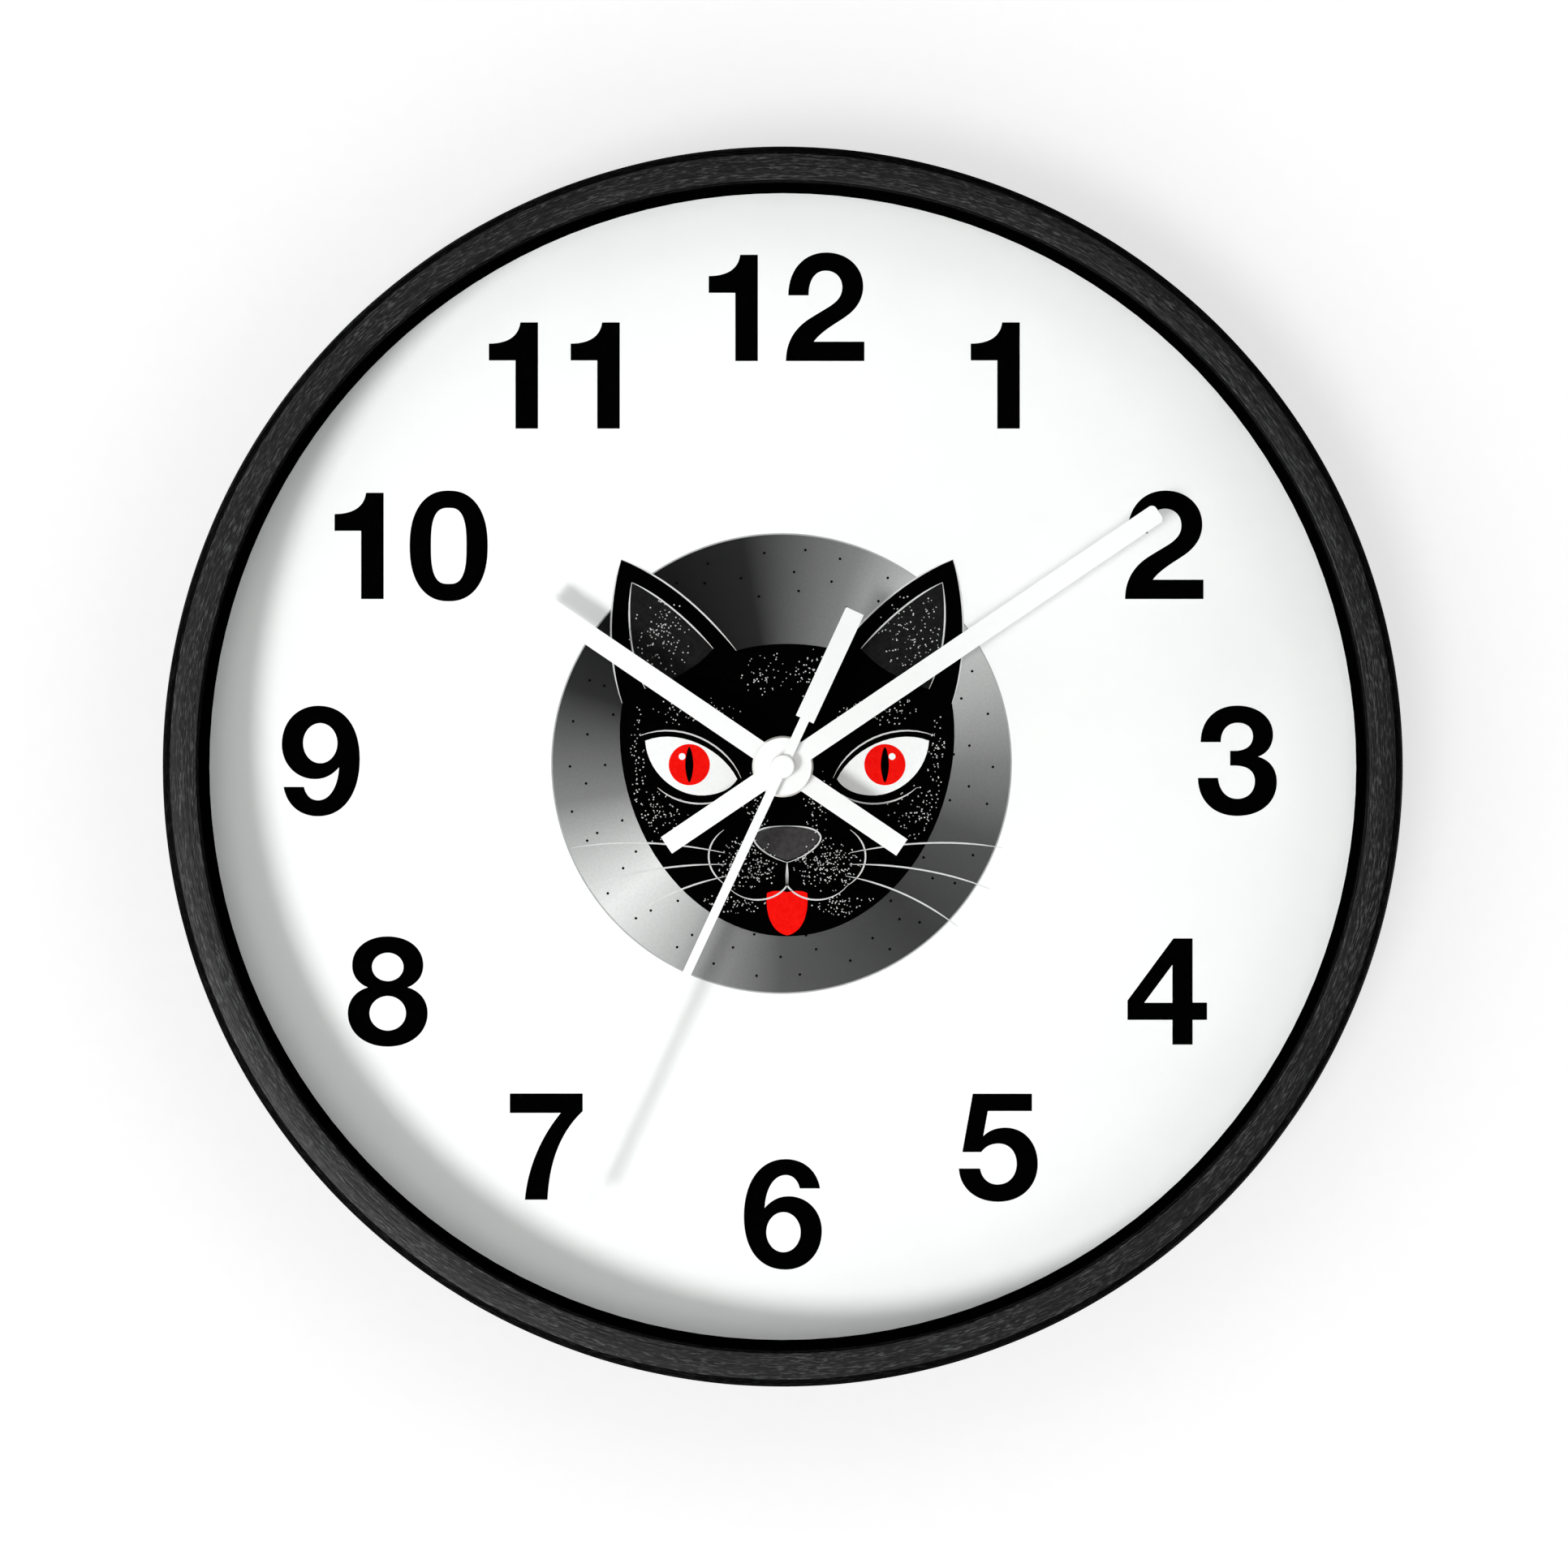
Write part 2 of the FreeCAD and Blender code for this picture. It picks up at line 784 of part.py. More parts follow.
def rear_shell():
    body = new_body("rear_case")
    case_outline(body, "case_block", CASE_BACK, COVER_BACK - CASE_BACK)
    inside, depth = CHAMBER, COVER_BACK - FLOOR
    slot_cut(body, "chamber", -inside, inside, CHAMBER_LOW, inside, FLOOR, depth)
    slot_cut(body, "cell_bay", -inside, inside, -inside, dim("bay_top"))
    for i, (x, y) in enumerate(PLATE_POSTS):
        post(body, f"plate{i}", x, y, dim("post_radius"), PLATE_BACK, dim("pin_radius"))
    for i, (x, y) in enumerate(BOARD_POSTS):
        post(body, f"board{i}", x, y, dim("small_post"), level_of("board_rise"), dim("small_pin"))
    for i, (x, y) in enumerate(STATOR_POSTS):
        post(body, f"stator{i}", x, y, dim("small_post"), level_of("stator_rise"), dim("small_pin"))
    pivot_boss(body, "rotor", ROTOR, dim("rotor_arbor"))
    pivot_boss(body, "idler", IDLER, dim("wheel_arbor"))
    pivot_boss(body, "third", THIRD, dim("wheel_arbor"))
    pivot_boss(body, "seconds", CENTRE, dim("seconds_arbor"))
    stem_hole = dim("knob_stem") + dim("tube_fit")
    hole(body, "stem_hole", stem_hole, *KNOB, level=CASE_BACK, length=dim("case_floor"))
    play, low, high = dim("strip_play"), dim("bay_top"), CHAMBER_LOW
    strip = level_of("board_rise") + dim("circuit_thickness") - play
    deep = dim("strip_depth") + play * 2
    for side in (-1, 1):
        edge, inner = inside * side, (inside - dim("contact_thickness") - play) * side
        slot_cut(body, f"strip_notch{side + 1}", inner, edge, low, high, strip, deep)
    snap_windows(body)
    hanger(body)
    face_on(body)


def front_cover():
    body = new_body("front_cover")
    case_outline(body, "cover_plate", COVER_BACK, dim("cover_thickness"))
    hole(body, "bushing_hole", dim("bushing_radius"))
    edge = CHAMBER - dim("relief_margin")
    low, high = -edge, dim("bay_top") - dim("relief_margin")
    slot_cut(body, "cell_relief", -edge, edge, low, high, COVER_BACK, dim("bay_relief"))
    half, inner = dim("snap_half"), dim("snap_inner")
    outer = CHAMBER - dim("snap_gap")
    barb = dim("case_half") - dim("snap_gap")
    for i, (side, y) in enumerate(snap_places()):
        y0, y1 = y - half, y + half
        long = dim("snap_leg")
        low = COVER_BACK - long
        block(body, f"leg{i}", inner * side, outer * side, y0, y1, low, long)
        low += dim("barb_play")
        block(body, f"barb{i}", outer * side, barb * side, y0, y1, low, dim("barb_length"))
    face_on(body)


def mid_plate():
    body = new_body("mid_plate")
    plate(body, "plate_outline", PLATE_CORNERS, PLATE_BACK, dim("plate_thickness"))
    round_edges(body, dim("plate_corner"), is_upright)
    for i, (x, y) in enumerate(PLATE_POSTS):
        hole(body, f"post_hole{i}", dim("pin_radius") + dim("fit"), x, y)
    hole(body, "rotor_pivot", dim("rotor_arbor") + dim("fit"), *ROTOR)
    hole(body, "idler_pivot", dim("wheel_arbor") + dim("fit"), *IDLER)
    hole(body, "third_pivot", dim("wheel_arbor") + dim("fit"), *THIRD)
    hole(body, "centre_pivot", dim("minute_tube") + dim("tube_fit"))
    hole(body, "stem_pivot", dim("knob_stem") + dim("tube_fit"), *KNOB)
    front = PLATE_BACK + dim("plate_thickness")
    disc(body, "stud", dim("stud_radius"), front, level_of("stud_rise") - front, *MINUTE)
    face_on(body)


def centre_bushing():
    body = new_body("centre_bushing")
    bore, barrel, flange = dim("bushing_bore"), dim("bushing_radius"), dim("bushing_flange")
    low, top = level_of("flange_rise"), stack_at("bushing_stand")
    profile = [
        (bore, low),
        (flange, low),
        (flange, COVER_BACK),
        (barrel, COVER_BACK),
        (barrel, top),
        (bore, top),
    ]
    turned(body, "bushing_profile", profile)
    pitch, depth, width = dim("thread_pitch"), dim("thread_depth"), dim("thread_width")
    start = DIAL_FRONT + pitch
    groove = new_sketch(body, "thread_groove", plane="XZ_Plane")
    notch = [(barrel, start), (barrel - depth, start + width / 2), (barrel, start + width)]
    add_polygon(groove, notch)
    cut = body.newObject("PartDesign::Groove", "thread_cut")
    cut.Profile = groove
    cut.ReferenceAxis = (groove, ["V_Axis"])
    cut.Angle = 360
    doc.recompute()
    rows = body.newObject("PartDesign::LinearPattern", "thread_rows")
    rows.Originals = [cut]
    rows.Direction = (origin_item(body, "Z_Axis"), [""])
    bind(rows, "Length", pitch * (dim("thread_turns") - 1))
    bind(rows, "Occurrences", dim("thread_turns"))
    body.Tip = rows
    face_on(body)


def hex_nut():
    body = new_body("hex_nut")
    corner = dim("nut_flats") / sqrt(3)
    points = []
    for i in range(6):
        angle = radians(60 * i)
        points.append((corner * cos(angle), corner * sin(angle)))
    level = DIAL_FRONT + dim("washer_thickness")
    plate(body, "nut_outline", points, level, dim("nut_thickness"))
    hole(body, "nut_bore", dim("bushing_radius"))
    face_on(body)


def movement_case():
    gasket = dim("gasket_thickness")
    flat_ring("rubber_gasket", dim("gasket_radius"), dim("dial_hole"), CASE_FRONT, gasket)
    rear_shell()
    front_cover()
    mid_plate()
    centre_bushing()
    thick = dim("washer_thickness")
    flat_ring("dial_washer", dim("washer_radius"), dim("dial_hole"), DIAL_FRONT, thick)
    hex_nut()


# ---------------------------------------------------------------- stepping motor and circuit


def coil_bobbin():
    """The bobbin stands upright, so it is drawn from above: x across, y to the rear."""
    body = new_body("coil_bobbin")
    half_wide, half_high = dim("bobbin_width") / 2, dim("bobbin_height") / 2
    length, flange = dim("bobbin_length"), dim("bobbin_flange")
    block(body, "low_flange", -half_wide, half_wide, -half_high, half_high, 0, flange)
    disc(body, "bobbin_tube", dim("bobbin_tube"), flange, length - flange * 2)
    block(body, "top_flange", -half_wide, half_wide, -half_high, half_high, length - flange, flange)
    core_half, core_thick = dim("core_width") / 2 + dim("fit"), dim("core_thickness") / 2 + dim("fit")
    slot_cut(body, "core_slot", -core_half, core_half, -core_thick, core_thick)
    inset = dim("lug_inset")
    near, far = dim("core_width") / 2 + inset, half_wide - inset
    front = -dim("core_thickness") / 2 - inset
    back = front + dim("lug_depth")
    for side in (-1, 1):
        x0, x1 = near * side, far * side
        block(body, f"lug{side + 1}", x0, x1, front, back, length, dim("lug_length"))
        drawing = new_sketch(body, f"pin_hole{side + 1}", plane="XZ_Plane")
        middle = length + dim("lug_length") / 2
        add_circle(drawing, dim("coil_pin"), coil_pin_reach() * side, middle)
        pocket(body, drawing)
    stand_at(body, dim("coil_x"), -coil_level(), coil_low())


def coil_level():
    return level_of("stator_rise") + dim("stator_thickness") + dim("core_thickness") / 2


def coil_low():
    return ROTOR[1] - dim("bobbin_length") / 2


def stand_at(body, x, y, z):
    """Place a body whose own Z axis is the row's, by its row position."""
    x, y, z = as_size(x), as_size(y), as_size(z)
    body.Placement = Placement(Vector(x.value, y.value, z.value), Rotation())
    bind(body, "Placement.Base.x", x)
    bind(body, "Placement.Base.y", y)
    bind(body, "Placement.Base.z", z)


def coil_winding():
    body = new_body("coil_winding")
    drawing = new_sketch(body, "winding_outline", dim("bobbin_flange"))
    add_circle(drawing, dim("winding_radius"))
    add_circle(drawing, dim("bobbin_tube"))
    pad(body, drawing, dim("bobbin_length") - dim("bobbin_flange") * 2)
    stand_at(body, dim("coil_x"), -coil_level(), coil_low())


def coil_pin_reach():
    """How far each wire pin stands from the coil's centre line: the middle of its lug."""
    return (dim("core_width") + dim("bobbin_width")) / 4


def coil_pin_places():
    reach = coil_pin_reach()
    up = ROTOR[1] + dim("bobbin_length") / 2 + dim("lug_length") / 2
    return [(dim("coil_x") - reach, up), (dim("coil_x") + reach, up)]


def coil_pins():
    body = new_body("coil_pins")
    low = level_of("board_rise") - dim("pin_sink")
    for i, (x, y) in enumerate(coil_pin_places()):
        disc(body, f"wire_pin{i}", dim("coil_pin"), low, dim("pin_length"), x, y)
    face_on(body)


def stator_core():
    body = new_body("stator_core")
    half, reach = dim("core_width") / 2, dim("stator_reach")
    level = level_of("stator_rise") + dim("stator_thickness")
    x = dim("coil_x")
    block(body, "core_bar", x - half, x + half, -reach, reach, level, dim("core_thickness"))
    face_on(body, 0, ROTOR[1])


def stator_plates():
    """Two pole plates, one above and one below the rotor, drawn about the rotor's height."""
    body = new_body("stator_plates")
    reach, pole = dim("stator_reach"), dim("pole_radius")
    arm, left = dim("stator_arm"), dim("coil_x") - dim("stator_overhang")
    inner, right = ROTOR[0] - pole - dim("pole_back"), ROTOR[0] + pole + dim("pole_front")
    outline = [
        (left, -reach),
        (right, -reach),
        (right, reach),
        (left, reach),
        (left, arm),
        (inner, arm),
        (inner, -arm),
        (left, -arm),
    ]
    level, thick = level_of("stator_rise"), dim("stator_thickness")
    plate(body, "plates_outline", outline, level, thick)
    hole(body, "pole_hole", pole, ROTOR[0], 0)
    gap = dim("pole_gap") / 2
    slot_cut(body, "pole_slit", inner - gap, right + gap, -gap, gap)
    for i, (x, y) in enumerate(STATOR_POSTS):
        hole(body, f"stator_hole{i}", dim("small_pin") + dim("fit"), x, as_size(y) - ROTOR[1])
    face_on(body, 0, ROTOR[1])


def circuit_board():
    body = new_body("circuit_board")
    half, low, top = dim("board_half"), dim("board_low"), dim("board_top")
    left, right, end = dim("tongue_left"), dim("tongue_right"), dim("tongue_low")
    outline = [
        (-half, low),
        (left, low),
        (left, end),
        (right, end),
        (right, low),
        (half, low),
        (half, top),
        (-half, top),
    ]
    plate(body, "board_outline", outline, level_of("board_rise"), dim("circuit_thickness"))
    for i, (x, y) in enumerate(coil_pin_places()):
        hole(body, f"wire_hole{i}", dim("coil_pin"), x, y)
    for i, (x, y) in enumerate(BOARD_POSTS):
        hole(body, f"board_hole{i}", dim("small_pin") + dim("fit"), x, y)
    face_on(body)


def board_parts():
    top = level_of("board_rise") + dim("circuit_thickness")
    blob = new_body("ic_blob")
    radius, height = dim("blob_radius"), dim("blob_height")
    disc(blob, "blob", radius, top, height)
    round_edges(blob, dim("blob_round"), is_ring(radius, top + height))
    face_on(blob, dim("blob_x"), dim("blob_y"))
    crystal = new_body("quartz_crystal")
    radius = dim("crystal_radius")
    disc(crystal, "can", radius, 0, dim("crystal_length"))
    thin, long = dim("lead_radius"), dim("lead_length")
    for side in (-1, 1):
        disc(crystal, f"lead{side + 1}", thin, -long, long, x=dim("lead_offset") * side)
    level, y = top + radius, dim("crystal_y")
    crystal.Placement = Placement(Vector(0, -level.value, y.value), Rotation(Vector(0, 1, 0), -90))
    bind(crystal, "Placement.Base.y", -level)
    bind(crystal, "Placement.Base.z", y)


def motor_and_circuit():
    coil_bobbin()
    coil_winding()
    coil_pins()
    stator_core()
    stator_plates()
    circuit_board()
    board_parts()


# ---------------------------------------------------------------- cell and contacts


def contact(name, side):
    """A sheet metal end contact, with a strip along the side wall to the circuit board."""
    body = new_body(name)
    thick = dim("contact_thickness")
    outer = CHAMBER * side
    inner = (CHAMBER - thick) * side
    low, high, end = dim("contact_low"), dim("contact_high"), dim("strip_end")
    rise, strip = level_of("contact_rise"), level_of("board_rise") + dim("circuit_thickness")
    block(body, f"{name}_plate", inner, outer, low, high, rise, dim("contact_depth"))
    block(body, f"{name}_strip", inner, outer, high, end, strip, dim("strip_depth"))
    tab = (dim("board_half") - dim("tab_overlap")) * side
    block(body, f"{name}_tab", tab, outer, dim("tab_low"), end, strip, thick)
    if side < 0:
        contact_leaf(body, inner)
    face_on(body)


def contact_leaf(body, plate_face):
    """A bowed leaf that presses on the cell's flat end."""
    bow, thick = dim("leaf_bow").value, dim("contact_thickness").value
    x, y, half = plate_face.value, dim("cell_y").value, dim("leaf_half").value
    drawing = new_sketch(body, "leaf", level_of("leaf_rise"))
    start, end = Vector(x, y - half, 0), Vector(x, y + half, 0)
    low, high = Vector(x, y - half + thick, 0), Vector(x, y + half - thick, 0)
    edges = [
        Part.Arc(start, Vector(x + bow, y, 0), end),
        Part.LineSegment(end, high),
        Part.Arc(high, Vector(x + bow - thick, y, 0), low),
        Part.LineSegment(low, start),
    ]
    for edge in edges:
        index = drawing.addGeometry(edge)
        drawing.addConstraint(Sketcher.Constraint("Block", index))
    pad(body, drawing, dim("leaf_depth"))


def along_x(body, x, y, level):
    """Place a turned body with its own Z axis along the row's +X."""
    x, y, level = as_size(x), as_size(y), as_size(level)
    body.Placement = Placement(Vector(x.value, -level.value, y.value), Rotation(Vector(0, 1, 0), 90))
    bind(body, "Placement.Base.x", x)
    bind(body, "Placement.Base.y", -level)
    bind(body, "Placement.Base.z", y)


def cell():
    can = new_body("aa_cell")
    radius, length = dim("cell_radius"), dim("cell_length")
    disc(can, "can_body", radius, 0, length)
    round_edges(can, dim("cell_round"), lambda edge: edge.Curve.TypeId == "Part::GeomCircle")
    left = CHAMBER - dim("contact_thickness") - dim("cell_cap_length") - length
    along_x(can, left, dim("cell_y"), level_of("cell_rise"))
    cap = new_body("aa_cell_cap")
    disc(cap, "cap_body", dim("cell_cap_radius"), 0, dim("cell_cap_length"))
    top = is_ring(dim("cell_cap_radius"), dim("cell_cap_length"))
    round_edges(cap, dim("cell_cap_round"), top)
    along_x(cap, left + length, dim("cell_y"), level_of("cell_rise"))


# ---------------------------------------------------------------- wheels and arbors


def arbor(body, radius, top):
    """A plain arbor from its socket in the case floor to a level."""
    low = CASE_BACK + dim("boss_rise") - dim("pivot_socket") + dim("end_play") * 2
    disc(body, f"{body.Name}_arbor", radius, low, top - low)


def plate_front():
    return PLATE_BACK + dim("plate_thickness")


def rotor():
    magnet = new_body("rotor_magnet")
    level, length = level_of("magnet_rise"), dim("magnet_length")
    drawing = new_sketch(magnet, "magnet_outline", level)
    add_circle(drawing, dim("magnet_radius"))
    add_circle(drawing, dim("rotor_hub"))
    pad(magnet, drawing, length)
    face_on(magnet, *ROTOR)
    pinion = new_body("rotor_pinion")
    arbor(pinion, dim("rotor_arbor"), plate_front() - dim("end_play"))
    low = level - dim("end_play")
    disc(pinion, "rotor_hub", dim("rotor_hub"), low, level_of("rotor_pinion_rise") - low)
    stage = level_of("rotor_pinion_rise"), dim("rotor_pinion_length")
    toothed(pinion, "rotor", FINE, *stage, PHASES["rotor"], wheel=False)
    face_on(pinion, *ROTOR)


def idler():
    body = new_body("intermediate_wheel")
    arbor(body, dim("wheel_arbor"), plate_front() - dim("end_play"))
    low = level_of("idler_pinion_rise")
    toothed(body, "idler_pinion", FINE, low, dim("short_pinion"), PHASES["idler_pinion"], wheel=False)
    hub = low + dim("short_pinion")
    disc(body, "idler_boss", dim("idler_hub"), hub, level_of("idler_rise") - hub)
    level = level_of("idler_rise")
    toothed(body, "idler", FINE, level, dim("idler_thickness"), PHASES["idler"], wheel=True)
    face_on(body, *IDLER)


def seconds_wheel():
    body = new_body("seconds_wheel")
    arbor(body, dim("seconds_arbor"), stack_at("second_hand_stand") + dim("second_hand_thickness"))
    level = level_of("seconds_rise")
    toothed(body, "seconds", FINE, level, dim("wheel_thickness"), PHASES["seconds"], wheel=True)
    hub = level + dim("wheel_thickness")
    disc(body, "seconds_boss", dim("seconds_hub"), hub, level_of("seconds_pinion_rise") - hub)
    level = level_of("seconds_pinion_rise")
    toothed(body, "seconds_pinion", FINE, level, dim("short_pinion"), 0, wheel=False)
    windows(body)
    face_on(body)


def third_wheel():
    body = new_body("third_wheel")
    arbor(body, dim("wheel_arbor"), plate_front() - dim("end_play"))
    level = level_of("third_rise")
    toothed(body, "third", FINE, level, dim("wheel_thickness"), PHASES["third"], wheel=True)
    level, length = level_of("third_pinion_rise"), dim("third_pinion_length")
    toothed(body, "third_pinion", CENTRE_MODULE, level, length, 0, wheel=False)
    windows(body)
    face_on(body, *THIRD)


def centre_wheel():
    body = new_body("centre_wheel")
    level = level_of("centre_rise")
    toothed(body, "centre", CENTRE_MODULE, level, dim("wheel_thickness"), PHASES["centre"], wheel=True)
    hole(body, "centre_bore", dim("minute_tube"))
    windows(body)
    face_on(body)


def clutch_spring():
    """A thin three-armed spring washer between the centre wheel and the minute arbor."""
    body = new_body("clutch_spring")
    level = level_of("centre_rise") + dim("wheel_thickness")
    thick, reach = dim("spring_thickness"), dim("spring_radius")
    disc(body, "spring_disc", reach, level, thick)
    deep = dim("spring_notch")
    notch = slot_cut(body, "spring_gap", reach - deep, reach + deep, -deep, deep)
    round_the_axis(body, notch, dim("spring_arms"))
    hole(body, "spring_bore", dim("minute_tube"))
    face_on(body)


def minute_arbor():
    body = new_body("minute_arbor")
    low, top = level_of("centre_rise") - dim("end_play"), stack_at("minute_tube_stand")
    disc(body, "minute_tube", dim("minute_tube"), low, top - low)
    level = level_of("cannon_rise")
    toothed(body, "cannon", DIALWORK, level, dim("cannon_length"), 0, wheel=False)
    hole(body, "minute_bore", dim("minute_bore"))
    face_on(body)


def minute_wheel():
    body = new_body("minute_wheel")
    level, thick = level_of("minute_rise"), dim("wheel_thickness")
    toothed(body, "minute", DIALWORK, level, thick, PHASES["minute"], wheel=True)
    length = dim("minute_pinion_length")
    toothed(body, "minute_pinion", DIALWORK, level + thick, length, 0, wheel=False)
    hole(body, "stud_bore", dim("stud_radius") + dim("tube_fit"))
    face_on(body, *MINUTE)


def hour_wheel():
    body = new_body("hour_wheel")
    level = level_of("hour_rise")
    toothed(body, "hour", DIALWORK, level, dim("wheel_thickness"), PHASES["hour"], wheel=True)
    disc(body, "hour_tube", dim("hour_tube"), level, stack_at("hour_tube_stand") - level)
    hole(body, "hour_bore", dim("hour_bore"))
    face_on(body)


def knob():
    gear = new_body("setting_gear")
    back = CASE_BACK - dim("end_play")
    low = back - dim("knob_thickness")
    top = level_of("minute_rise") + dim("wheel_thickness")
    disc(gear, "stem", dim("knob_stem"), low, top - low)
    level = level_of("minute_rise")
    toothed(gear, "knob", DIALWORK, level, dim("wheel_thickness"), PHASES["knob"], wheel=True)
    face_on(gear, *KNOB)
    body = new_body("setting_knob")
    disc(body, "knob_disc", dim("knob_radius"), low, dim("knob_thickness"))
    flute = hole(body, "flute", dim("flute_radius"), x=dim("knob_radius") + dim("flute_offset"))
    round_the_axis(body, flute, dim("knob_flutes"))
    hole(body, "knob_bore", dim("knob_stem"))
    face_on(body, *KNOB)


def train():
    rotor()
    idler()
    seconds_wheel()
    third_wheel()
    centre_wheel()
    clutch_spring()
    minute_arbor()
    minute_wheel()
    hour_wheel()
    knob()


# ---------------------------------------------------------------- hands


def flat_hand(name, tube):
    """A straight parallel hand with a round hub, and the collet behind it that grips its tube."""
    body = new_body(f"{name}_hand")
    half = dim("hand_width") / 2
    level, thick = stack_at(f"{name}_hand_stand"), dim("hand_thickness")
    tip, tail = dim(f"{name}_hand_length"), dim(f"{name}_hand_tail")
    block(body, f"{name}_blade", -half, half, -tail, tip, level, thick)
    round_edges(body, dim("hand_tip_round"), at_end(tip))
    disc(body, f"{name}_hub", dim("hand_hub"), level, thick)
    hole(body, f"{name}_hand_bore", tube)
    face_on(body, turn=-DIMS[f"{name}_angle"])
    length = dim("collet_length")
    flat_ring(f"{name}_hand_collet", dim(f"{name}_collet"), tube, level - length, length)


def second_hand():
    body = new_body("second_hand")
    level, thick = stack_at("second_hand_stand"), dim("second_hand_thickness")
    tip, tail = dim("second_hand_length"), dim("second_hand_tail")
    stem, point = dim("second_stem_width") / 2, dim("second_tip_width") / 2
    weight, start = dim("counterweight_width") / 2, dim("counterweight_start")
    right = [(weight, -tail), (weight, -start), (stem, -start), (stem, 0), (point, tip)]
    left = [(-x, y) for x, y in reversed(right)]
    plate(body, "second_blade", right + left, level, thick)
    round_edges(body, dim("second_tip_round"), at_end(tip))
    disc(body, "second_hub", dim("second_hub"), level, thick)
    hole(body, "second_bore", dim("seconds_arbor"))
    face_on(body, turn=-DIMS["second_angle"])
    length = dim("second_collet_length")
    outer, bore = dim("second_collet"), dim("seconds_arbor")
    flat_ring("second_hand_collet", outer, bore, level - length, length)
    cap = flat_ring("second_hand_cap", dim("second_hub"), None, level + thick, dim("cap_height"))
    top = level + thick + dim("cap_height")
    round_edges(cap, dim("cap_round"), is_ring(dim("second_hub"), top))


def hands():
    flat_hand("hour", dim("hour_tube"))
    flat_hand("minute", dim("minute_tube"))
    second_hand()


# ---------------------------------------------------------------- build, check and write


def faults():
    found = []
    for item in doc.Objects:
        if {"Invalid", "Error"} & set(item.State):
            found.append(f"{item.Label}: {item.State}")
    for item in SUB_PARTS:
        if item.Shape.isNull() or not item.Shape.isValid() or not item.Shape.Solids:
            found.append(f"{item.Label}: no valid shape")
    return found


def main():
    frame_ring()
    glazing()
    movement_case()
    motor_and_circuit()
    contact("positive_contact", 1)
    contact("negative_contact", -1)
    cell()
    train()
    hands()
    doc.recompute()
    found = faults()
    if found:
        raise RuntimeError("; ".join(found))
    os.makedirs("parts", exist_ok=True)
    for item in SUB_PARTS:
        item.Shape.exportStep(f"parts/{item.Label}.step")
        print(f"{item.Label}: {len(item.Shape.Solids)} solid(s), {item.Shape.Volume:.2f} mm3")


main()
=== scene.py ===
import json
import math
import random

import bmesh
import bpy
import numpy as np
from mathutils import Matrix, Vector


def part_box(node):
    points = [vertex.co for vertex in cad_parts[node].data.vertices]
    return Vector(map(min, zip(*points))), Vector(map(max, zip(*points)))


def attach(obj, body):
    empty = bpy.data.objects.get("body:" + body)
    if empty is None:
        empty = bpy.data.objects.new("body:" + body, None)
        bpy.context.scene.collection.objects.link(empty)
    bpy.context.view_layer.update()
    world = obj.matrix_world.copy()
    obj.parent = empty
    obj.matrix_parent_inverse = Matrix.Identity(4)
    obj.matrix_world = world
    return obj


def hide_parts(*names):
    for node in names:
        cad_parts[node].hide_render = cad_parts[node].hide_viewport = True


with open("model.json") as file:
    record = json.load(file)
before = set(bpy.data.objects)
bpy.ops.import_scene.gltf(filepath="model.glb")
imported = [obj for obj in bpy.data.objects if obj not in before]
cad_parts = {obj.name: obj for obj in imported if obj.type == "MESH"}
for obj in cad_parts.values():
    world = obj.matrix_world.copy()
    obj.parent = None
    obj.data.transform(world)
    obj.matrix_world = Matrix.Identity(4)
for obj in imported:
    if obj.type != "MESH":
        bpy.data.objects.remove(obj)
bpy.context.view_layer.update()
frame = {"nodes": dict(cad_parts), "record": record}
NODES = frame["nodes"]
MM = 0.001
TAU = 2 * math.pi

# Every piece is drawn face on, in millimetres from the hand axis: x to the right, y up, and
# level is the distance in front of the wall. The row frame has the wall at Y = 0 and the
# dial facing -Y, so (x, y, level) goes to (x, -level, y).


def at(x, y, level):
    return Vector((x, -level, y)) * MM


def front_of(node):
    """The level of a CAD node's front face, in millimetres."""
    return -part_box(node)[0].y / MM


RING_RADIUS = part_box("frame_ring")[1].x / MM
RING_DEPTH = front_of("frame_ring")
DIAL_LEVEL = front_of("dial_sheet")


# ---------------------------------------------------------------- materials


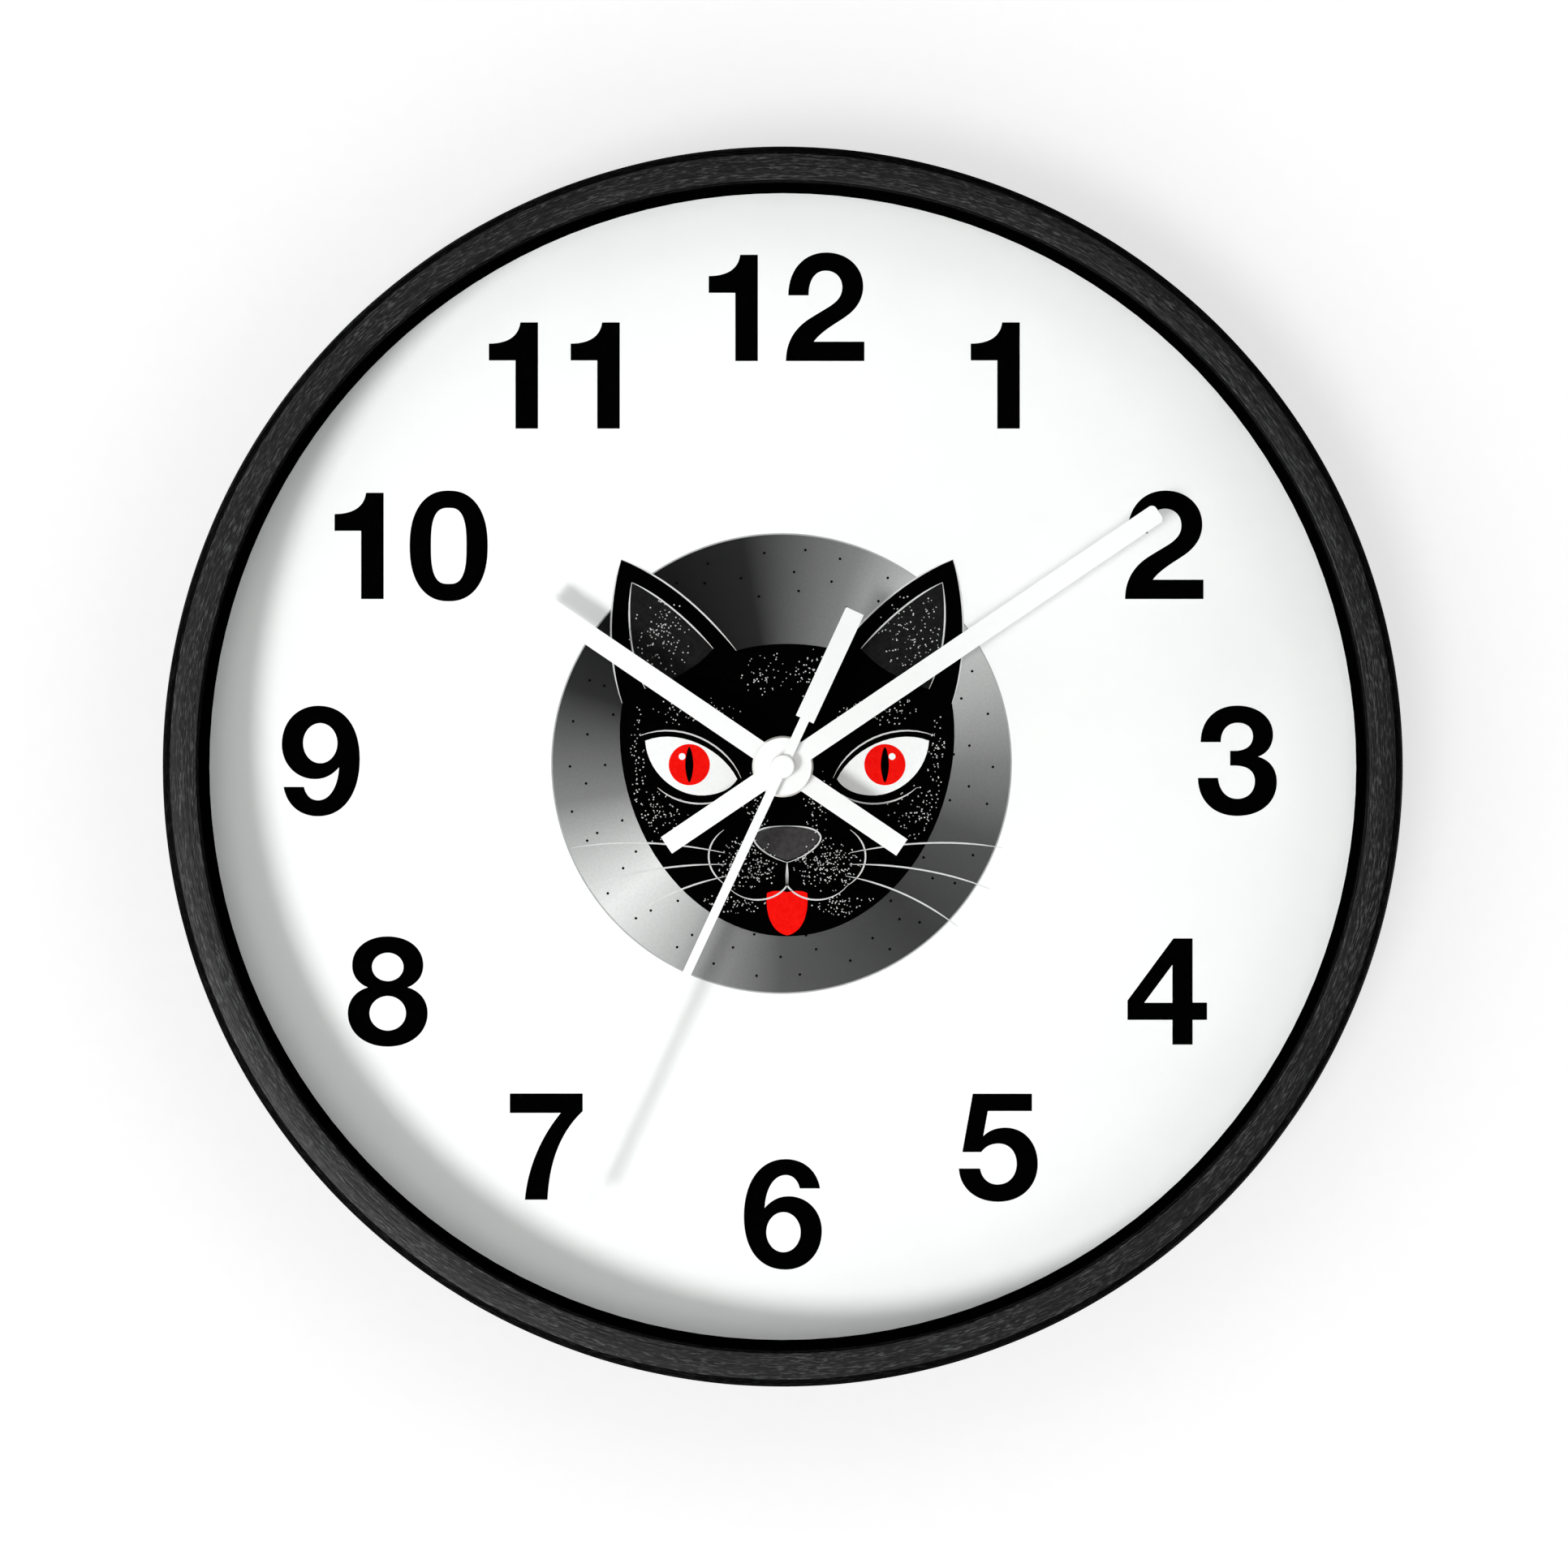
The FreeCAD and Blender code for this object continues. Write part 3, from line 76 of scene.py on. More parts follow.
class Shader:
    """A material's node tree. An input takes a number, a colour, a node or one of its outputs."""

    def __init__(self, name):
        self.material = bpy.data.materials.new(name)
        self.material.use_nodes = True
        self.tree = self.material.node_tree
        self.tree.nodes.clear()
        self.output = self.add("ShaderNodeOutputMaterial")
        self.place = self.add("ShaderNodeTexCoord").outputs["Object"]

    def add(self, kind, inputs=None, **settings):
        node = self.tree.nodes.new(kind)
        for name, value in settings.items():
            setattr(node, name, value)
        for key, value in (inputs or {}).items():
            self.fill(node.inputs[key], value)
        return node

    def fill(self, socket, value):
        if isinstance(value, bpy.types.Node):
            value = value.outputs[0]
        if isinstance(value, bpy.types.NodeSocket):
            self.tree.links.new(value, socket)
        else:
            socket.default_value = value

    def maths(self, operation, first, second=0.0):
        return self.add("ShaderNodeMath", {0: first, 1: second}, operation=operation)

    def stretched(self, scale, place=None):
        """The place in the row frame, in millimetres, times a scale along each axis."""
        size = [s / MM for s in scale]
        where = self.place if place is None else place
        return self.add("ShaderNodeMapping", {"Vector": where, "Scale": size})

    def noise(self, pitch, detail=3.0, rough=0.55, place=None):
        """Noise whose features are about this many millimetres apart."""
        where = self.place if place is None else place
        scale = 1 / (pitch * MM) if place is None else 1 / pitch
        inputs = {"Vector": where, "Scale": scale, "Detail": detail, "Roughness": rough}
        return self.add("ShaderNodeTexNoise", inputs)

    def ramp(self, value, stops, easing="LINEAR"):
        node = self.add("ShaderNodeValToRGB", {"Fac": value})
        node.color_ramp.interpolation = easing
        points = node.color_ramp.elements
        while len(points) < len(stops):
            points.new(1.0)
        for point, (position, colour) in zip(points, stops):
            point.position = position
            point.color = grey(colour) if isinstance(colour, float) else (*colour, 1)
        return node

    def spread(self, value, low, high, start=0.3, end=0.7):
        """Map a noise value from start..end to low..high."""
        inputs = {"Value": value, 1: start, 2: end, 3: low, 4: high}
        return self.add("ShaderNodeMapRange", inputs)

    def blend(self, share, first, second):
        node = self.add("ShaderNodeMix", data_type="RGBA")
        for index, value in ((0, share), (6, first), (7, second)):
            if isinstance(value, tuple) and len(value) == 3:
                value = (*value, 1)
            self.fill(node.inputs[index], value)
        return node.outputs[2]

    def bump(self, height, depth):
        """A bump this many millimetres deep."""
        inputs = {"Height": height, "Distance": depth * MM, "Strength": 1.0}
        return self.add("ShaderNodeBump", inputs)

    def finish(self, colour, rough, metal, normal, **plain):
        """Close the material with one Principled shader; plain sets more of its own sockets."""
        inputs = {"Base Color": colour, "Roughness": rough, "Metallic": metal, "Normal": normal}
        inputs.update({key.replace("_", " "): value for key, value in plain.items()})
        surface = self.add("ShaderNodeBsdfPrincipled", inputs)
        self.fill(self.output.inputs["Surface"], surface.outputs[0])
        return self.material


def grey(level):
    return (level, level, level, 1.0)


def plain_surface(name, low, high, rough, pitch, grain, metal=0.0, depth=0.01, **plain):
    """A moulded, cast or coated surface: two colours mottled, fine grain and uneven gloss."""
    s = Shader(name)
    mottle = s.noise(pitch, 4.0)
    fine = s.noise(grain, 3.0)
    colour = s.blend(s.spread(mottle, 0.0, 1.0), low, high)
    gloss = s.spread(s.noise(pitch * 0.37, 3.0), rough[0], rough[1])
    return s.finish(colour, gloss, metal, s.bump(fine, depth), **plain)


def brushed_surface(name, low, high, rough, scale):
    """Metal with fine drawn lines: scale is how fast the lines change along each axis."""
    s = Shader(name)
    lines = s.noise(1.0, 4.0, 0.6, s.stretched(scale))
    smudge = s.noise(4.0, 3.0)
    colour = s.blend(s.spread(lines, 0.0, 1.0), low, high)
    gloss = s.maths("ADD", s.spread(lines, rough[0], rough[1]), s.spread(smudge, -0.05, 0.08))
    return s.finish(colour, gloss, 1.0, s.bump(lines, 0.004))


def painted_wood(name, tones, streak, rough, specular):
    """Black paint on wood: the grain runs round the ring, and short pale pores run along it."""
    s = Shader(name)
    across = s.add("ShaderNodeAttribute", attribute_name="across").outputs["Fac"]
    spread = s.add("ShaderNodeSeparateXYZ", {0: s.place})

    def along_grain(length, width):
        """A place whose noise is this many millimetres long round the ring and this wide."""
        inputs = {i: s.maths("MULTIPLY", spread.outputs[i], 1 / (length * MM)) for i in (0, 2)}
        inputs[1] = s.maths("MULTIPLY", across, 1 / width)
        return s.add("ShaderNodeCombineXYZ", inputs)

    lines = s.noise(1.0, 4.0, 0.6, along_grain(30.0, 0.42))
    pores = s.noise(1.0, 2.0, 0.55, along_grain(1.9, 0.26))
    patches = s.noise(1.0, 2.0, 0.5, along_grain(14.0, 0.9))
    base = s.ramp(lines, [(0.34, tones[0]), (0.5, tones[1]), (0.7, tones[2])])
    pitted = s.spread(pores, 0.0, 1.0, 0.5, 0.66)
    marks = s.maths("MULTIPLY", pitted, s.spread(patches, 0.2, 1.0, 0.35, 0.6))
    colour = s.blend(marks, base, streak)
    height = s.maths("ADD", lines, s.maths("MULTIPLY", pores, 0.8))
    gloss = s.spread(lines, rough[1], rough[0], 0.35, 0.7)
    return s.finish(colour, gloss, 0.0, s.bump(height, 0.14), Specular_IOR_Level=specular)


def clear_pane():
    """Clear glass that doesn't bend light, with a faint mirror that is stronger aslant."""
    s = Shader("clear_pane")
    mirror = s.add("ShaderNodeBsdfGlossy", {"Color": grey(1.0), "Roughness": 0.015})
    clear = s.add("ShaderNodeBsdfTransparent", {"Color": (0.993, 0.998, 0.995, 1)})
    edge = s.add("ShaderNodeFresnel", {"IOR": 1.45})
    smear = s.spread(s.noise(60.0, 2.0), 0.75, 0.95)
    # what is seen through the pane takes both faces' mirror on its way in and none on its way out
    behind = s.add("ShaderNodeNewGeometry").outputs["Backfacing"]
    seen = s.add("ShaderNodeLightPath").outputs["Is Camera Ray"]
    side = s.maths("SUBTRACT", 1.0, s.maths("MULTIPLY", behind, 2.0))
    faces = s.maths("ADD", s.maths("MULTIPLY", side, seen), 1.0)
    share = s.maths("MULTIPLY", s.maths("MULTIPLY", edge, smear), faces)
    mixed = s.add("ShaderNodeMixShader", {0: share, 1: clear.outputs[0], 2: mirror.outputs[0]})
    s.fill(s.output.inputs["Surface"], mixed.outputs[0])
    return s.material


def paper():
    """Matte coated paper: nearly flat, with a faint fibre in colour, gloss and relief."""
    s = Shader("white_paper")
    fibre = s.noise(0.35, 4.0, 0.65)
    cloud = s.noise(9.0, 3.0)
    colour = s.blend(s.spread(cloud, 0.0, 1.0), (0.925, 0.925, 0.93), (0.94, 0.94, 0.938))
    return s.finish(colour, s.spread(fibre, 0.5, 0.62), 0.0, s.bump(fibre, 0.004))


def ink(name, low, high):
    return plain_surface(name, low, high, (0.5, 0.62), 0.8, 0.35, depth=0.002, Specular_IOR_Level=0.0)


def turned_grey(centre):
    """The printed disc: its grey goes round like light on spun metal."""
    s = Shader("grey_disc_print")
    spread = s.add("ShaderNodeSeparateXYZ", {0: s.place})
    x = s.maths("SUBTRACT", spread.outputs[0], centre[0] * MM)
    y = s.maths("SUBTRACT", spread.outputs[2], centre[1] * MM)
    turn = s.maths("DIVIDE", s.maths("ARCTAN2", y, x), TAU)
    turn = s.maths("FRACT", s.maths("ADD", turn, 1.0))
    # the printed grey, from 0 to 255, at each bearing in degrees
    print_levels = [(0, 133), (30, 205), (45, 222), (70, 133), (100, 43), (130, 12), (160, 48),
                    (190, 135), (220, 247), (250, 149), (270, 92), (310, 64), (340, 88), (360, 133)]
    whitest = 0.86
    stops = [(degrees / 360, (level / 255) ** 2.2 * whitest) for degrees, level in print_levels]
    colour = s.ramp(turn, stops)
    specks = s.noise(0.5, 3.0)
    shade = s.blend(s.spread(specks, 0.0, 0.12), colour, (0.02, 0.02, 0.02))
    gloss = s.spread(specks, 0.5, 0.6)
    return s.finish(shade, gloss, 0.0, s.bump(specks, 0.002), Specular_IOR_Level=0.03)


def hardboard():
    """Pressed fibre: brown, with dark and pale fibres and a woven screen mark."""
    s = Shader("brown_hardboard")
    fibre = s.noise(1.0, 5.0, 0.7, s.stretched((0.9, 1.6, 2.2)))
    cloud = s.noise(14.0, 4.0)
    browns = [(0.3, (0.10, 0.052, 0.026)), (0.5, (0.235, 0.135, 0.072)), (0.72, (0.37, 0.235, 0.14))]
    colour = s.ramp(fibre, browns)
    tint = s.blend(s.spread(cloud, 0.0, 0.45), colour, (0.17, 0.095, 0.05))
    spread = s.add("ShaderNodeSeparateXYZ", {0: s.stretched((1, 1, 1))})
    mesh_pitch = 1.6
    rows = s.maths("SINE", s.maths("MULTIPLY", spread.outputs[0], TAU / mesh_pitch))
    lines = s.maths("SINE", s.maths("MULTIPLY", spread.outputs[2], TAU / mesh_pitch))
    screen = s.maths("MULTIPLY", rows, lines)
    height = s.maths("ADD", s.maths("MULTIPLY", screen, 0.35), fibre)
    return s.finish(tint, s.spread(fibre, 0.72, 0.9), 0.0, s.bump(height, 0.14))


def copper_wire():
    """A coil of fine enamelled wire: turns every fifth of a millimetre up the coil."""
    s = Shader("enamelled_copper")
    spread = s.add("ShaderNodeSeparateXYZ", {0: s.stretched((1, 1, 1))})
    wander = s.maths("MULTIPLY", s.noise(2.5, 2.0), 0.5)
    wire_pitch = 0.2
    height = s.maths("ADD", spread.outputs[2], wander)
    turns = s.maths("SINE", s.maths("MULTIPLY", height, TAU / wire_pitch))
    colour = s.blend(s.spread(turns, 0.0, 1.0, -1.0, 1.0), (0.35, 0.12, 0.045), (0.72, 0.33, 0.14))
    return s.finish(colour, s.spread(s.noise(1.5), 0.25, 0.38), 1.0, s.bump(turns, 0.06))


def circuit_mask():
    """Green solder mask with raised tracks that wander across the board."""
    s = Shader("green_circuit_mask")
    spread = s.add("ShaderNodeSeparateXYZ", {0: s.stretched((1, 1, 1))})
    bend = s.maths("MULTIPLY", s.noise(6.0, 1.0), 3.0)
    track_pitch = 1.3
    height = s.maths("ADD", spread.outputs[2], bend)
    tracks = s.maths("SINE", s.maths("MULTIPLY", height, TAU / track_pitch))
    raised = s.spread(tracks, 0.0, 1.0, 0.1, 0.3)
    colour = s.blend(raised, (0.008, 0.062, 0.024), (0.02, 0.13, 0.048))
    return s.finish(colour, s.spread(s.noise(1.0), 0.28, 0.4), 0.0, s.bump(raised, 0.03))


def cell_jacket():
    """A printed film round the can: dark, with a pale band at the positive end."""
    s = Shader("cell_jacket")
    spread = s.add("ShaderNodeSeparateXYZ", {0: s.stretched((1, 1, 1))})
    lo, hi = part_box("aa_cell")
    along = s.add("ShaderNodeMapRange", {"Value": spread.outputs[0], 1: lo.x / MM, 2: hi.x / MM})
    bands = [(0.0, (0.30, 0.30, 0.31)), (0.022, (0.012, 0.013, 0.016)), (0.70, (0.55, 0.56, 0.58)),
             (0.715, (0.045, 0.15, 0.115)), (0.965, (0.30, 0.30, 0.31))]
    colour = s.ramp(along, bands, "CONSTANT")
    scuff = s.noise(1.0, 4.0, 0.7, s.stretched((0.5, 1.2, 1.2)))
    tint = s.blend(s.spread(scuff, 0.0, 0.04, 0.55, 0.8), colour, (0.4, 0.4, 0.4))
    return s.finish(tint, s.spread(scuff, 0.22, 0.36), 0.25, s.bump(s.noise(1.2), 0.006))


def lacquer(name, tone):
    """White lacquer on stamped metal: a faint orange peel and fine dust."""
    s = Shader(name)
    peel = s.noise(0.9, 2.0)
    dust = s.noise(0.25, 2.0)
    colour = s.blend(s.spread(dust, 0.0, 1.0), tone, tuple(c * 0.985 for c in tone))
    return s.finish(colour, s.spread(peel, 0.34, 0.44), 0.0, s.bump(peel, 0.004))


# one for each material slot of the record
MATERIALS = {
    "black_wood": painted_wood("black_painted_wood", (0.0015, 0.004, 0.008), (0.034, 0.0345, 0.036),
                               (0.36, 0.52), 0.09),
    "clear_pane": clear_pane(),
    "black_spacer": plain_surface("black_spacer", (0.0003,) * 3, (0.0008,) * 3, (0.8, 0.95), 3.0, 0.3,
                                  Specular_IOR_Level=0.0),
    "printed_sheet": paper(),
    "hardboard": hardboard(),
    "spring_steel": brushed_surface("spring_steel", (0.36, 0.36, 0.37), (0.6, 0.6, 0.61), (0.28, 0.42),
                                    (3.0, 3.0, 3.0)),
    "black_rubber": plain_surface("black_rubber", (0.010,) * 3, (0.022,) * 3, (0.75, 0.9), 2.0, 0.4,
                                  depth=0.02),
    "black_case": plain_surface("black_moulding", (0.0075, 0.0075, 0.008), (0.013, 0.013, 0.014),
                                (0.36, 0.5), 5.0, 0.28, depth=0.025),
    "natural_plastic": plain_surface("natural_moulding", (0.72, 0.71, 0.66), (0.80, 0.79, 0.75),
                                     (0.36, 0.48), 2.5, 0.5, depth=0.006),
    "brass": brushed_surface("turned_brass", (0.60, 0.42, 0.16), (0.80, 0.60, 0.28), (0.2, 0.34),
                             (1.0, 6.0, 1.0)),
    "bobbin_plastic": plain_surface("bobbin_moulding", (0.05,) * 3, (0.08,) * 3, (0.45, 0.6), 2.0, 0.3),
    "copper_wire": copper_wire(),
    "tinned_metal": brushed_surface("tinned_metal", (0.55, 0.55, 0.54), (0.76, 0.76, 0.74), (0.26, 0.4),
                                    (5.0, 1.0, 5.0)),
    "soft_iron": brushed_surface("soft_iron", (0.26, 0.26, 0.27), (0.42, 0.42, 0.42), (0.38, 0.52),
                                 (2.0, 2.0, 6.0)),
    "circuit_green": circuit_mask(),
    "black_resin": plain_surface("black_resin", (0.006,) * 3, (0.012,) * 3, (0.1, 0.2), 2.0, 1.5,
                                 depth=0.03),
    "magnet_grey": plain_surface("magnet_grey", (0.18,) * 3, (0.3,) * 3, (0.4, 0.5), 1.0, 0.2,
                                 metal=0.9),
    "cell_jacket": cell_jacket(),
    "cell_metal": brushed_surface("nickel_plate", (0.62, 0.61, 0.58), (0.80, 0.79, 0.76), (0.18, 0.3),
                                  (1.0, 4.0, 4.0)),
    "white_hand": lacquer("white_lacquer", (0.93, 0.93, 0.93)),
}
# the ring's round outer edge and the inside of its lip: matt paint, with a colour darker than the
# face's that is painted shade
# the darker tones here stand in for the shade that falls on the round-over and the lip
WOOD_EDGE_PAINTED_SHADE = painted_wood("black_matt_edge_painted_shade", (0.0003, 0.0006, 0.0012), (0.006, 0.0061, 0.0064),
                         (0.7, 0.86), 0.01)


def clothe(piece, *materials):
    piece.data.materials.clear()
    for material in materials:
        piece.data.materials.append(material)


for part in frame["record"]["subparts"]:
    clothe(NODES[part["node"]], MATERIALS[part["material_slot"]])


# ---------------------------------------------------------------- pieces


def new_piece(name, mesh, material):
    piece = bpy.data.objects.new(name, mesh)
    bpy.context.scene.collection.objects.link(piece)
    clothe(piece, material)
    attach(piece, "housing")
    return piece


def tidy_normals(mesh):
    work = bmesh.new()
    work.from_mesh(mesh)
    bmesh.ops.recalc_face_normals(work, faces=work.faces)
    work.to_mesh(mesh)
    work.free()


def shade_smooth(mesh, angle):
    """Smooth shading, with every edge that turns by more than the angle kept sharp."""
    work = bmesh.new()
    work.from_mesh(mesh)
    for face in work.faces:
        face.smooth = True
    for edge in work.edges:
        if len(edge.link_faces) == 2:
            edge.smooth = edge.calc_face_angle(0.0) < math.radians(angle)
    work.to_mesh(mesh)
    work.free()


# ---------------------------------------------------------------- the wood ring


# in millimetres
EDGE_BAND = 1.7  # the band round the face's outer edge: matt, and darker as painted shade
LIP_WIDTH = 7.4  # the face, from the ring's outer side in to its lip
WALL_THICKNESS = 5.5  # the ring behind the lip
GRAIN_CUT = 0.085
GRAIN_PITCHES = (0.62, 0.78, 0.97, 1.25, 1.7, 2.6)
RING_STEPS = 600  # faces round the ring


def arc_points(centre, radius, start, end, steps):
    points = []
    for i in range(1, steps + 1):
        angle = math.radians(start + (end - start) * i / steps)
        points.append((centre[0] + radius * math.cos(angle), centre[1] + radius * math.sin(angle)))
    return points


def line_points(start, end, step):
    length = math.dist(start, end)
    count = max(1, round(length / step))
    return [
        (start[0] + (end[0] - start[0]) * i / count, start[1] + (end[1] - start[1]) * i / count)
        for i in range(1, count + 1)
    ]


def crowned(turns, outer, depth, inner):
    """Arcs that run from the outer side to an inner radius, with their highest point at depth."""
    points = [(0.0, 0.0)]
    for radius, start, end in turns:
        steps = max(2, round(radius * math.radians(start - end) / 0.2))
        tilt = [math.radians(start + (end - start) * (i + 0.5) / steps) for i in range(steps)]
        stride = radius * math.radians(start - end) / steps
        for angle in tilt:
            x, y = points[-1]
            points.append((x - stride * math.cos(angle), y + stride * math.sin(angle)))
    top = max(y for _, y in points)
    placed = [(outer + x, depth - top + y) for x, y in points]
    kept = [p for p in placed if p[0] > inner + 0.1]
    return kept + line_points(kept[-1], (inner, kept[-1][1] - 0.05 * (kept[-1][0] - inner)), 0.2)


def ring_section():
    """The closed section as (radius, level), how deep the grain may cut, and where it is matt and
    painted darker as shade.
    """
    back_round, lip_round, lip_depth = 0.8, 0.35, 2.5
    outer, depth = RING_RADIUS, RING_DEPTH
    lip, rebate = outer - LIP_WIDTH, outer - WALL_THICKNESS
    # the face is crowned: each arc's radius and the tilts it goes through, from the outer side in
    turns = [(2.6, 90, 34), (5.5, 34, 10), (16.0, 10, -5)]
    points, cuts = [], []

    def extend(more, cut):
        points.extend(more)
        cuts.extend([cut] * len(more))

    extend([(rebate, 0.0)], 0.0)
    extend(line_points((rebate, 0.0), (outer - back_round, 0.0), 0.8), 0.0)
    extend(arc_points((outer - back_round, back_round), back_round, -90, 0, 5), 0.5)
    face = crowned(turns, outer, depth, lip + lip_round)
    shoulder = face[0][1]
    extend(line_points((outer, back_round), (outer, shoulder), 0.48), 1.0)
    extend(face[1:], 1.0)
    inner_level = face[-1][1]
    extend(arc_points((lip + lip_round, inner_level - lip_round), lip_round, 90, 180, 5), 0.2)
    extend(line_points((lip, inner_level - lip_round), (lip, depth - lip_depth), 0.8), 0.0)
    extend(line_points((lip, depth - lip_depth), (rebate, depth - lip_depth), 1.0), 0.0)
    extend(line_points((rebate, depth - lip_depth), (rebate, 0.0), 3.0)[:-1], 0.0)
    section = np.array(points)
    # the round-over and the lip wall take the matt edge paint; its darker colour is painted shade
    round_over = (section[:, 0] > outer - EDGE_BAND) & (section[:, 1] > shoulder - 0.5)
    lip_wall = (section[:, 0] < lip + 0.2) & (section[:, 1] > depth - lip_depth - 0.1)
    matt_and_painted_shade = round_over | lip_wall
    return section, np.array(cuts), matt_and_painted_shade


def grain_depth(across, turn):
    """How deep the grain cuts, from 0 to 1, at a distance across the ring and a turn round it."""
    draw = random.Random(11)
    depth = np.zeros(np.broadcast(across, turn).shape)
    for pitch in GRAIN_PITCHES:
        sway = 0.0
        for cycles in (2, 3, 5, 9, 17):
            size = draw.uniform(0.3, 1.0)
            sway = sway + size * np.sin(cycles * turn + draw.uniform(0, TAU)) / cycles
        patches = draw.randint(16, 48)
        fade = 0.5 + 0.5 * np.sin(patches * turn + across / pitch / 1.7 + draw.uniform(0, TAU))
        wave = 0.5 + 0.5 * np.sin(TAU * (across / pitch + 0.5 * sway) + draw.uniform(0, TAU))
        depth = depth + wave**3 * fade
    # the waves seldom all meet, so half of them at full depth count as one
    return depth / (len(GRAIN_PITCHES) / 2)


def lathe_ring():
    """The ring, turned from its section, with grain cut into it and its matt faces, painted darker as
    shade, marked.
    """
    section, cuts, matt_and_painted_shade = ring_section()
    steps = np.linalg.norm(np.diff(section, axis=0), axis=1)
    across = np.concatenate([[0.0], np.cumsum(steps)])
    before, after = np.roll(section, 1, axis=0), np.roll(section, -1, axis=0)
    along = after - before
    along /= np.linalg.norm(along, axis=1)[:, None]
    inward = np.stack([-along[:, 1], along[:, 0]], axis=1)
    turns = np.arange(RING_STEPS) / RING_STEPS * TAU
    depth = grain_depth(across[None, :], turns[:, None]) * cuts[None, :] * GRAIN_CUT
    radius = section[None, :, 0] + inward[None, :, 0] * depth
    level = section[None, :, 1] + inward[None, :, 1] * depth
    x = radius * np.cos(turns)[:, None]
    y = radius * np.sin(turns)[:, None]
    places = np.stack([x, -level, y], axis=-1).reshape(-1, 3) * MM
    count = len(section)
    i, j = np.meshgrid(np.arange(RING_STEPS), np.arange(count), indexing="ij")
    near, far = i * count, (i + 1) % RING_STEPS * count
    following = (j + 1) % count
    faces = np.stack([near + j, near + following, far + following, far + j], axis=-1).reshape(-1, 4)
    mesh = bpy.data.meshes.new("ring_wood")
    mesh.from_pydata(places.tolist(), [], faces.tolist())
    shade = mesh.attributes.new("across", "FLOAT", "POINT")
    shade.data.foreach_set("value", np.tile(across, RING_STEPS).astype(np.float32))
    mesh.polygons.foreach_set("material_index", np.tile(matt_and_painted_shade.astype(np.int32), RING_STEPS))
    tidy_normals(mesh)
    shade_smooth(mesh, 60.0)
    return mesh


ring_mesh = lathe_ring()
shares = [face.material_index for face in ring_mesh.polygons]
ring = new_piece("ring_wood", ring_mesh, MATERIALS["black_wood"])
# the second material: matt edge paint whose darker colour is painted shade
ring_mesh.materials.append(WOOD_EDGE_PAINTED_SHADE)
ring_mesh.polygons.foreach_set("material_index", shares)
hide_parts("frame_ring")


# ---------------------------------------------------------------- print on the dial

LAYER = 0.03  # one layer of print, in millimetres
CAP_HEIGHT = 22.16  # in millimetres
LINE_WIDTH = 0.34  # the cat's pen lines, in millimetres
DOT_SIDES = 7

# each figure's outline, as a share of its height; loops_of gives the letters' meaning
GLYPHS = {
    "0": "E .3673 .5 .3673 .521 2.3 E .3673 .5 .1673 .358 2.85",
    "1": "M .462 0 L .462 1 L .296 1 C .28 .865 .17 .8 0 .8 L 0 .642 L .25 .642 L .25 0 Z",
    "2": "M 0 0 L .738 0 L .738 .182 L .262 .182 C .33 .275 .44 .335 .545 .405"
         " C .66 .48 .727 .58 .727 .701 C .727 .885 .58 1.0215 .38 1.0215"
         " C .16 1.0215 .022 .85 .022 .618 L .213 .618 C .213 .765 .275 .8505 .374 .8505"
         " C .465 .8505 .53 .785 .53 .695 C .53 .615 .49 .565 .405 .51"
         " C .345 .474 .28 .435 .22 .398 C .075 .305 0 .17 0 0 Z",
    "3": "M 0 .34 L .189 .34 C .2 .22 .27 .143 .369 .143 C .468 .143 .536 .21 .536 .309"
         " C .536 .41 .46 .456 .345 .456 L .303 .456 L .303 .595 L .345 .595"
         " C .45 .595 .518 .645 .518 .732 C .518 .81 .46 .859 .373 .859"
         " C .28 .859 .215 .79 .215 .677 L .026 .677 C .026 .885 .165 1.021 .369 1.021"
         " C .57 1.021 .707 .905 .707 .747 C .707 .65 .655 .57 .565 .54"
         " C .68 .51 .7426 .42 .7426 .301 C .7426 .11 .59 -.018 .369 -.018"
         " C .15 -.018 0 .125 0 .34 Z",
    "4": "M .432 1 L .613 1 L .613 .396 L .749 .396 L .749 .233 L .613 .233 L .613 0 L .423 0"
         " L .423 .233 L 0 .233 L 0 .415 Z M .1575 .394 L .423 .394 L .423 .751 Z",
    "5": "M .1325 1 L .689 1 L .689 .837 L .274 .837 L .231 .601"
         " C .285 .655 .355 .6805 .4406 .6805 C .615 .6805 .744 .54 .744 .34"
         " C .744 .13 .59 -.017 .372 -.017 C .16 -.017 .01 .11 .0015 .296 L .2006 .296"
         " C .215 .205 .28 .145 .365 .145 C .47 .145 .546 .225 .546 .34"
         " C .546 .455 .475 .531 .375 .531 C .305 .531 .25 .503 .212 .451 L .034 .451 Z",
    "6": "M .718 .745 L .527 .745 C .51 .825 .46 .871 .393 .871 C .285 .871 .205 .745 .1965 .56"
         " C .255 .63 .33 .671 .4235 .671 C .6 .671 .735 .53 .735 .345"
         " C .735 .13 .59 -.0195 .391 -.0195 C .15 -.0195 .001 .17 .001 .48"
         " C .001 .81 .155 1.021 .393 1.021 C .565 1.021 .69 .915 .718 .745 Z"
         " E .3735 .333 .162 .189 2",
    "7": "M 0 1 L .686 1 L .686 .833 C .5 .66 .37 .39 .355 0 L .142 0"
         " C .165 .29 .29 .59 .4795 .817 L 0 .817 Z",
    "8": "M .3755 1.0187 C .575 1.0187 .71 .905 .71 .748 C .71 .65 .655 .575 .562 .5386"
         " C .685 .505 .751 .41 .751 .295 C .751 .115 .595 -.0187 .3755 -.0187"
         " C .156 -.0187 0 .115 0 .295 C 0 .41 .066 .505 .189 .5386"
         " C .096 .575 .041 .65 .041 .748 C .041 .905 .176 1.0187 .3755 1.0187 Z"
         " E .3755 .731 .149 .134 2 E .3755 .295 .172 .163 2",
}
NINE_WIDTH = 0.735
